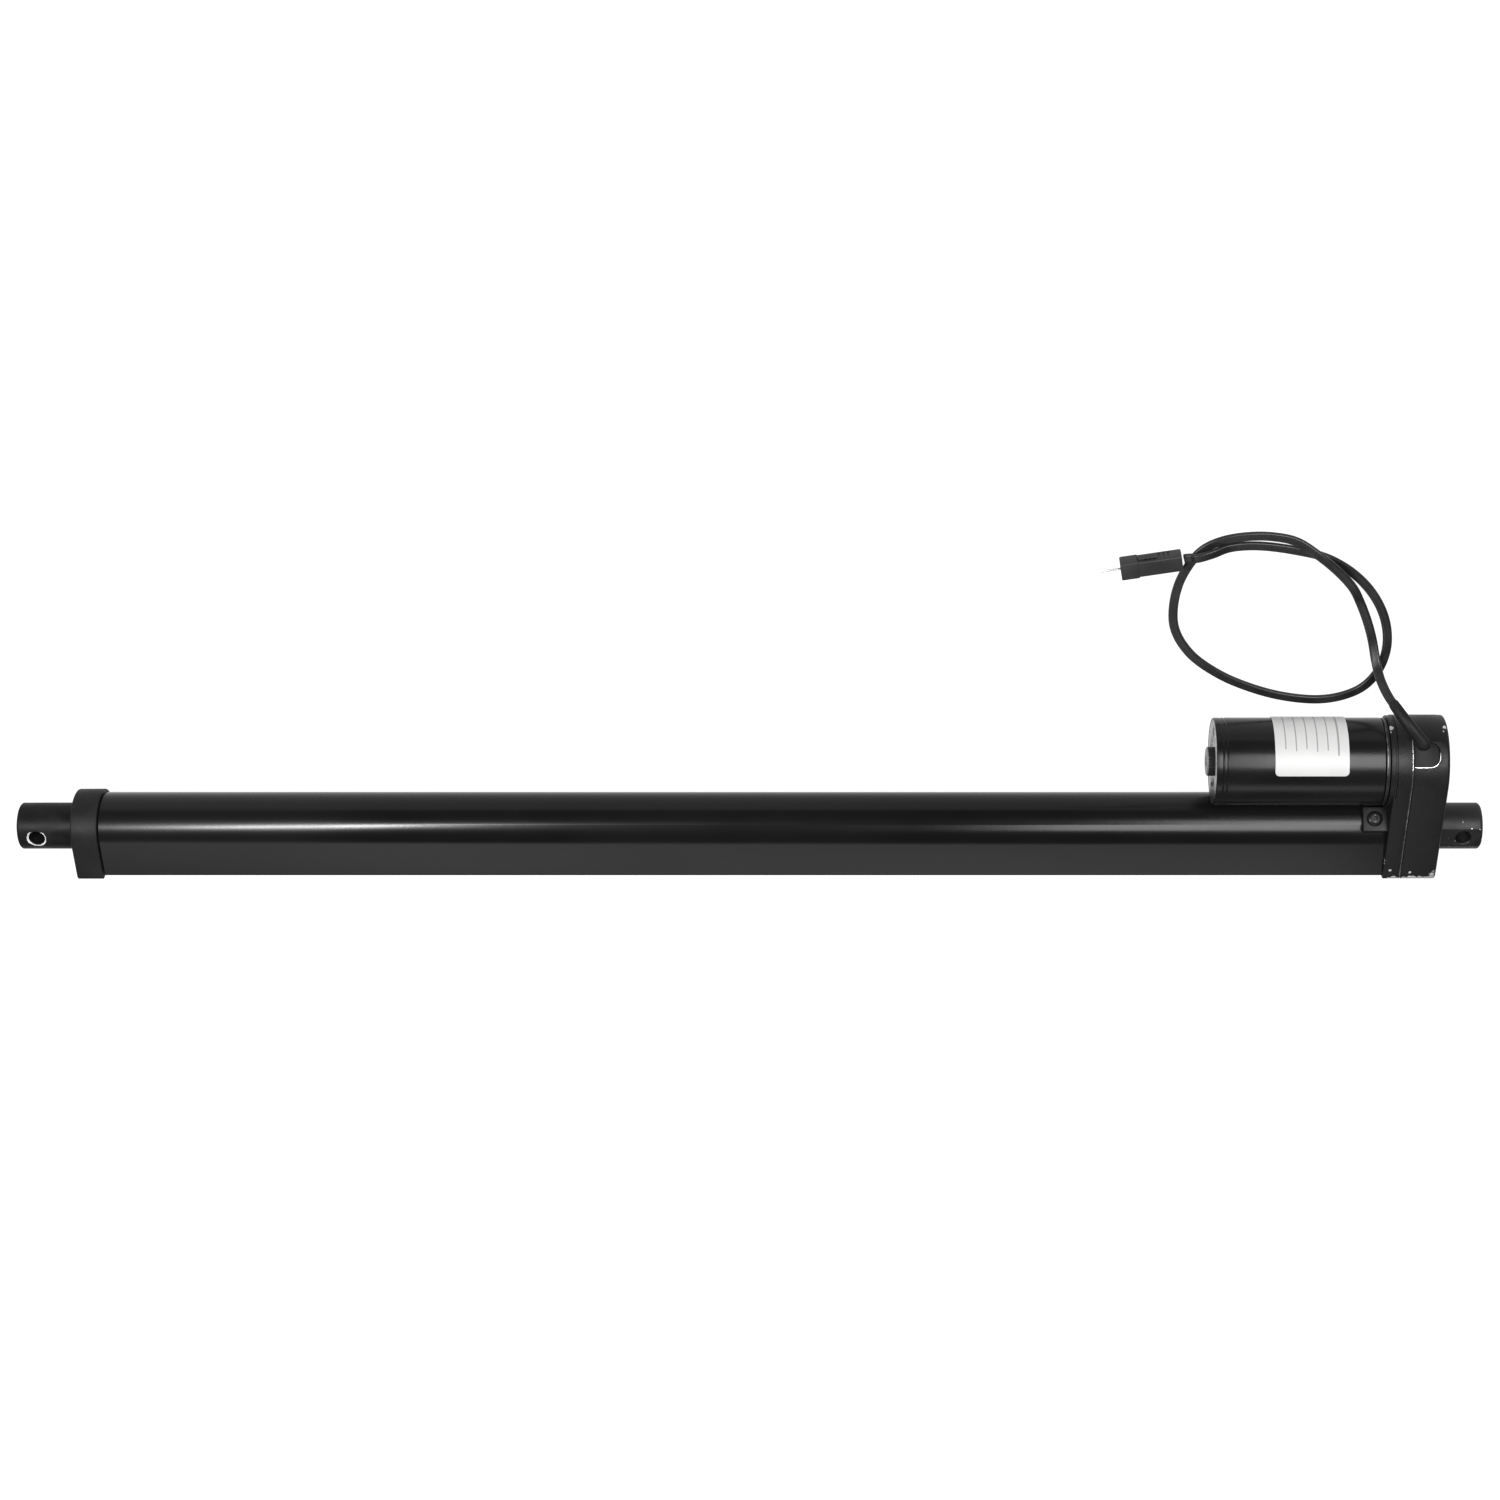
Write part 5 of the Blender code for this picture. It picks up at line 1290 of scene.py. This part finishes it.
def add_end_plate(finish):
    """The grainy zinc plate in the can's front end: a shallow dish in its middle, and eight small dents."""
    rear, front = span("motor_end_plate", 0)
    front -= 0.1
    rim = MOTOR_RADIUS - CAN_LIP - 0.2
    profile = [
        (front - PLATE_DISH, 3.5, 0.1),
        (front - PLATE_DISH, 10.6, 0.3),
        (front, 11.8, 0.3),
        (front, rim, 0.2),
        (rear, rim, 0.1),
        (rear, 3.5, 0.1),
    ]
    plate = turned("motor_zinc_plate", MOTOR_AXIS, profile, closed=True)
    for turn_deg in (30, 75, 120, 165, 210, 255, 300, 345):
        spot = Vector((front + 0.2, *MOTOR_AXIS)) + outward(turn_deg) * (rim - 1.6)
        carve(plate, drum("stake", spot - Vector((0.6, 0, 0)), spot + Vector((1, 0, 0)), 0.8, 24))
    place(plate, finish, "root", "zinc_casting", "motor_end_plate")


def add_bearing_cap():
    """The motor's black bearing cap, knurled round its edge, with a paler worn face."""
    rear, front = span("motor_bearing_cap", 0)
    radius = radius_of("motor_bearing_cap")
    front -= PLATE_DISH
    seat = span("motor_end_plate", 0)[1] - 0.1 - PLATE_DISH
    y, z = MOTOR_AXIS

    def knurled(inset, depth):
        outline = []
        for i in range(KNURLS * 6):
            angle = 2 * math.pi * i / (KNURLS * 6)
            wave = depth * (0.5 + 0.5 * math.cos(angle * KNURLS))
            size = radius - inset - wave
            outline.append((y + size * math.cos(angle), z + size * math.sin(angle)))
        return outline

    sections = [
        (front, knurled(0.6, 0)),
        (front - 0.3, knurled(0.15, 0.1)),
        (front - 0.7, knurled(0, 0.26)),
        (seat + 0.1, knurled(0, 0.26)),
    ]
    cap = loft("motor_knurled_cap", sections)
    neck = turned("cap_neck", MOTOR_AXIS, [
        (seat + 0.6, 0, 0),
        (seat + 0.6, 3.1, 0),
        (rear, 3.1, 0.2),
        (rear, 0, 0),
    ])
    fuse(cap, neck)
    carve(cap, bore("shaft_space", rear - 1, front - 2.0, MOTOR_AXIS, 1.8, 48))
    carve(cap, bore("cap_dimple", front - 0.5, front + 1, MOTOR_AXIS, 2.6, 64))
    f = Finish("bearing_cap_plastic", (0.005, 0.005, 0.005), 0.45, specular=0.2)
    grain = f.noise(800, detail=3)
    f.clouded(grain, 0.35, 0.75, 1.0, (0.010, 0.010, 0.010), 0.36, 0.52)
    x = f.coordinates()[0]
    f.bare(f.fit(x, front - 0.7, front - 0.3, 0.0, 0.55), colour=(0.30, 0.30, 0.30), roughness=0.5)
    f.bump(grain, 0.03)
    place(smooth(cap, 30), f.material, "root", "black_plastic", "motor_bearing_cap")


def add_flange():
    """The motor's rear plate, painted with the can, as a ring with rounded edges."""
    rear, front = span("motor_flange", 0)
    radius = MOTOR_RADIUS
    profile = [
        (front, 3.9, 0),
        (front, radius - 0.1, 0.25),
        (rear, radius - 0.1, 0.25),
        (rear, 3.9, 0),
    ]
    flange = turned("motor_rear_plate", MOTOR_AXIS, profile, closed=True, steps=144)
    for number in (1, 2):
        spot = middle(f"motor_screw_{number}")
        carve(flange, bore("screw_hole", rear - 1, front + 1, spot, 1.6, 32))
    f = Finish("flange_paint", (0.005, 0.005, 0.0052), 0.40, specular=0.2)
    grain = f.noise(500, detail=4)
    f.clouded(grain, 0.35, 0.75, 1.0, (0.010, 0.010, 0.0102), 0.32, 0.48)
    f.bump(grain, 0.04)
    worn = f.wear_and_highlight_plane(front - 0.2, 0.14, (-40.0, -20.0), (20.0, 42.0), ragged=1.0)
    f.bare(worn, colour=(0.12, 0.12, 0.12))
    place(smooth(flange), f.material, "root", "motor_paint", "motor_flange")


LABEL_START_DEG, LABEL_END_DEG = 15.0, 130.0
LABEL_CORNER = 1.9
LABEL_LIFT, LABEL_THICKNESS = 0.2, 0.22


def add_label():
    """A blank film round the can, with round corners."""
    low, high = span("rating_label", 0)
    inner = MOTOR_RADIUS + LABEL_LIFT
    outer = inner + LABEL_THICKNESS
    length = math.radians(LABEL_END_DEG - LABEL_START_DEG) * outer
    steps = [LABEL_CORNER * (1 - math.cos(math.pi / 2 * i / 8)) for i in range(9)]
    count = 60
    flat = [LABEL_CORNER + (length - 2 * LABEL_CORNER) * i / count for i in range(1, count)]
    stations = steps + flat + [length - step for step in reversed(steps)]
    points = []
    for along in stations:
        from_end = min(along, length - along)
        inset = 0.0
        if from_end < LABEL_CORNER:
            inset = LABEL_CORNER - math.sqrt(max(LABEL_CORNER**2 - (LABEL_CORNER - from_end) ** 2, 0))
        inset = min(inset, LABEL_CORNER - 0.02)
        out = outward(LABEL_START_DEG + math.degrees(along / outer))
        left, right = low + inset, high - inset
        for x, radius in ((left, inner), (left, outer), (right, outer), (right, inner)):
            points.append(Vector((x, *MOTOR_AXIS)) + out * radius)
    label = smooth(mesh_object("blank_label", points, skin(len(stations), 4)), 40)
    place(label, label_film(), "root", "label_film", "rating_label")


add_housing()
add_cover()
add_cover_screws()
add_lug_screws()
ZINC = zinc()
add_can()
add_end_plate(ZINC)
add_bearing_cap()
add_flange()
add_label()


# ---------------------------------------------------------------- CAD pieces that stay, inside the actuator

STEEL = machined("bright_steel", (0.58, 0.58, 0.59), (0.38, 0.38, 0.39), 0.32)
LAMINATED = banded("laminated_core", (0.34, 0.34, 0.35), (0.10, 0.10, 0.10), 260, "X", 1.0, 0.5, 0.05)
THREAD = banded("rolled_thread", (0.56, 0.56, 0.57), (0.16, 0.16, 0.16), 53, "X", 1.0, 0.3, 0.6)
BRONZE = machined("sintered_bronze", (0.52, 0.34, 0.16), (0.34, 0.21, 0.10), 0.42, (1, 1, 1))
COPPER = machined("commutator_copper", (0.60, 0.28, 0.15), (0.36, 0.15, 0.08), 0.35)
WIRE, WIRE_GAP = (0.42, 0.16, 0.07), (0.12, 0.04, 0.02)
WINDING = banded("enamelled_winding", WIRE, WIRE_GAP, 420, "DIAGONAL", 0.9, 0.35, 0.1)
NYLON = moulded("nylon", (0.62, 0.60, 0.55), (0.72, 0.70, 0.65), 0.42)
FERRITE = moulded("ferrite", (0.035, 0.035, 0.037), (0.06, 0.06, 0.062), 0.6, depth=0.06)
SWITCH = moulded("switch_plastic", (0.016, 0.016, 0.017), (0.03, 0.03, 0.031), 0.48)
LEAD = moulded("lead_insulation", (0.30, 0.03, 0.02), (0.42, 0.05, 0.03), 0.4)

INSIDE = (
    (STEEL, ("nut_pin", "bearing_inner_race", "bearing_outer_race", "bearing_lock_ring", "idler_pin")),
    (STEEL, ("rotor_shaft", "motor_pinion", "motor_screw_1", "motor_screw_2")),
    (THREAD, ("lead_screw",)),
    (LAMINATED, ("armature_core",)),
    (BRONZE, ("front_guide_bush", "bearing_ball_cage", "motor_rear_bush", "screw_rear_bush")),
    (COPPER, ("commutator",)),
    (WINDING, ("armature_winding_front", "armature_winding_rear")),
    (NYLON, ("drive_nut", "screw_front_guide", "screw_gear", "compound_gear")),
    (NYLON, ("retract_limit_plunger", "extend_limit_plunger")),
    (FERRITE, ("motor_magnet_1", "motor_magnet_2", "motor_brush_1", "motor_brush_2")),
    (SWITCH, ("brush_card", "retract_limit_switch", "extend_limit_switch")),
    (LEAD, ("motor_lead_1", "motor_lead_2")),
    (board_finish(), ("limit_switch_board",)),
)


def finish_inner_nodes():
    """Gives the CAD nodes inside the actuator the materials that INSIDE lists."""
    for material, nodes in INSIDE:
        for node in nodes:
            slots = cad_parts[node].data.materials
            slots.clear()
            slots.append(material)


finish_inner_nodes()


# ---------------------------------------------------------------- floor, lights and world

def add_floor():
    """A pale floor under the actuator, bright enough to read as white."""
    work = bmesh.new()
    bmesh.ops.create_grid(work, x_segments=1, y_segments=1, size=6)
    floor = finished("pale_floor", work)
    floor.location.z = -0.0003
    paper = bpy.data.materials.new("pale_paper")
    paper.use_nodes = True
    shader = paper.node_tree.nodes["Principled BSDF"]
    shader.inputs["Base Color"].default_value = (0.1, 0.1, 0.1, 1)
    shader.inputs["Roughness"].default_value = 0.9
    shader.inputs["Specular IOR Level"].default_value = 0.0
    shader.inputs["Emission Color"].default_value = (1, 1, 1, 1)
    shader.inputs["Emission Strength"].default_value = FLOOR_GLOW
    floor.data.materials.append(paper)


def add_light(name, place, size, radiance, target=(0, 0, 0.02)):
    """An area light of a given brightness as it is seen in a reflection, turned towards a point."""
    data = bpy.data.lights.new(name, "AREA")
    data.shape = "RECTANGLE"
    data.size, data.size_y = size
    data.energy = radiance * math.pi * size[0] * size[1]
    light = bpy.data.objects.new(name, data)
    way = Vector(place) - Vector(target)
    light.matrix_world = Matrix.Translation(place) @ way.to_track_quat("Z", "Y").to_matrix().to_4x4()
    bpy.context.scene.collection.objects.link(light)


def add_world(level):
    """An even grey surround."""
    world = bpy.data.worlds.new("studio")
    world.use_nodes = True
    world.node_tree.nodes["Background"].inputs["Color"].default_value = (level, level, level, 1)
    bpy.context.scene.world = world


FLOOR_GLOW = 0.97

add_floor()
add_light("streak_light", (0.525, -0.50, 0.85), (0.24, 0.03), 820)
add_light("softbox", (-0.47, -0.555, 0.82), (0.44, 0.60), 20, target=(-0.47, 0, 0.02))
add_light("base_light", (0.084, 0.60, 0.81), (1.4, 0.25), 3.3)
add_world(0.15)
bpy.context.scene.view_settings.view_transform = "Standard"
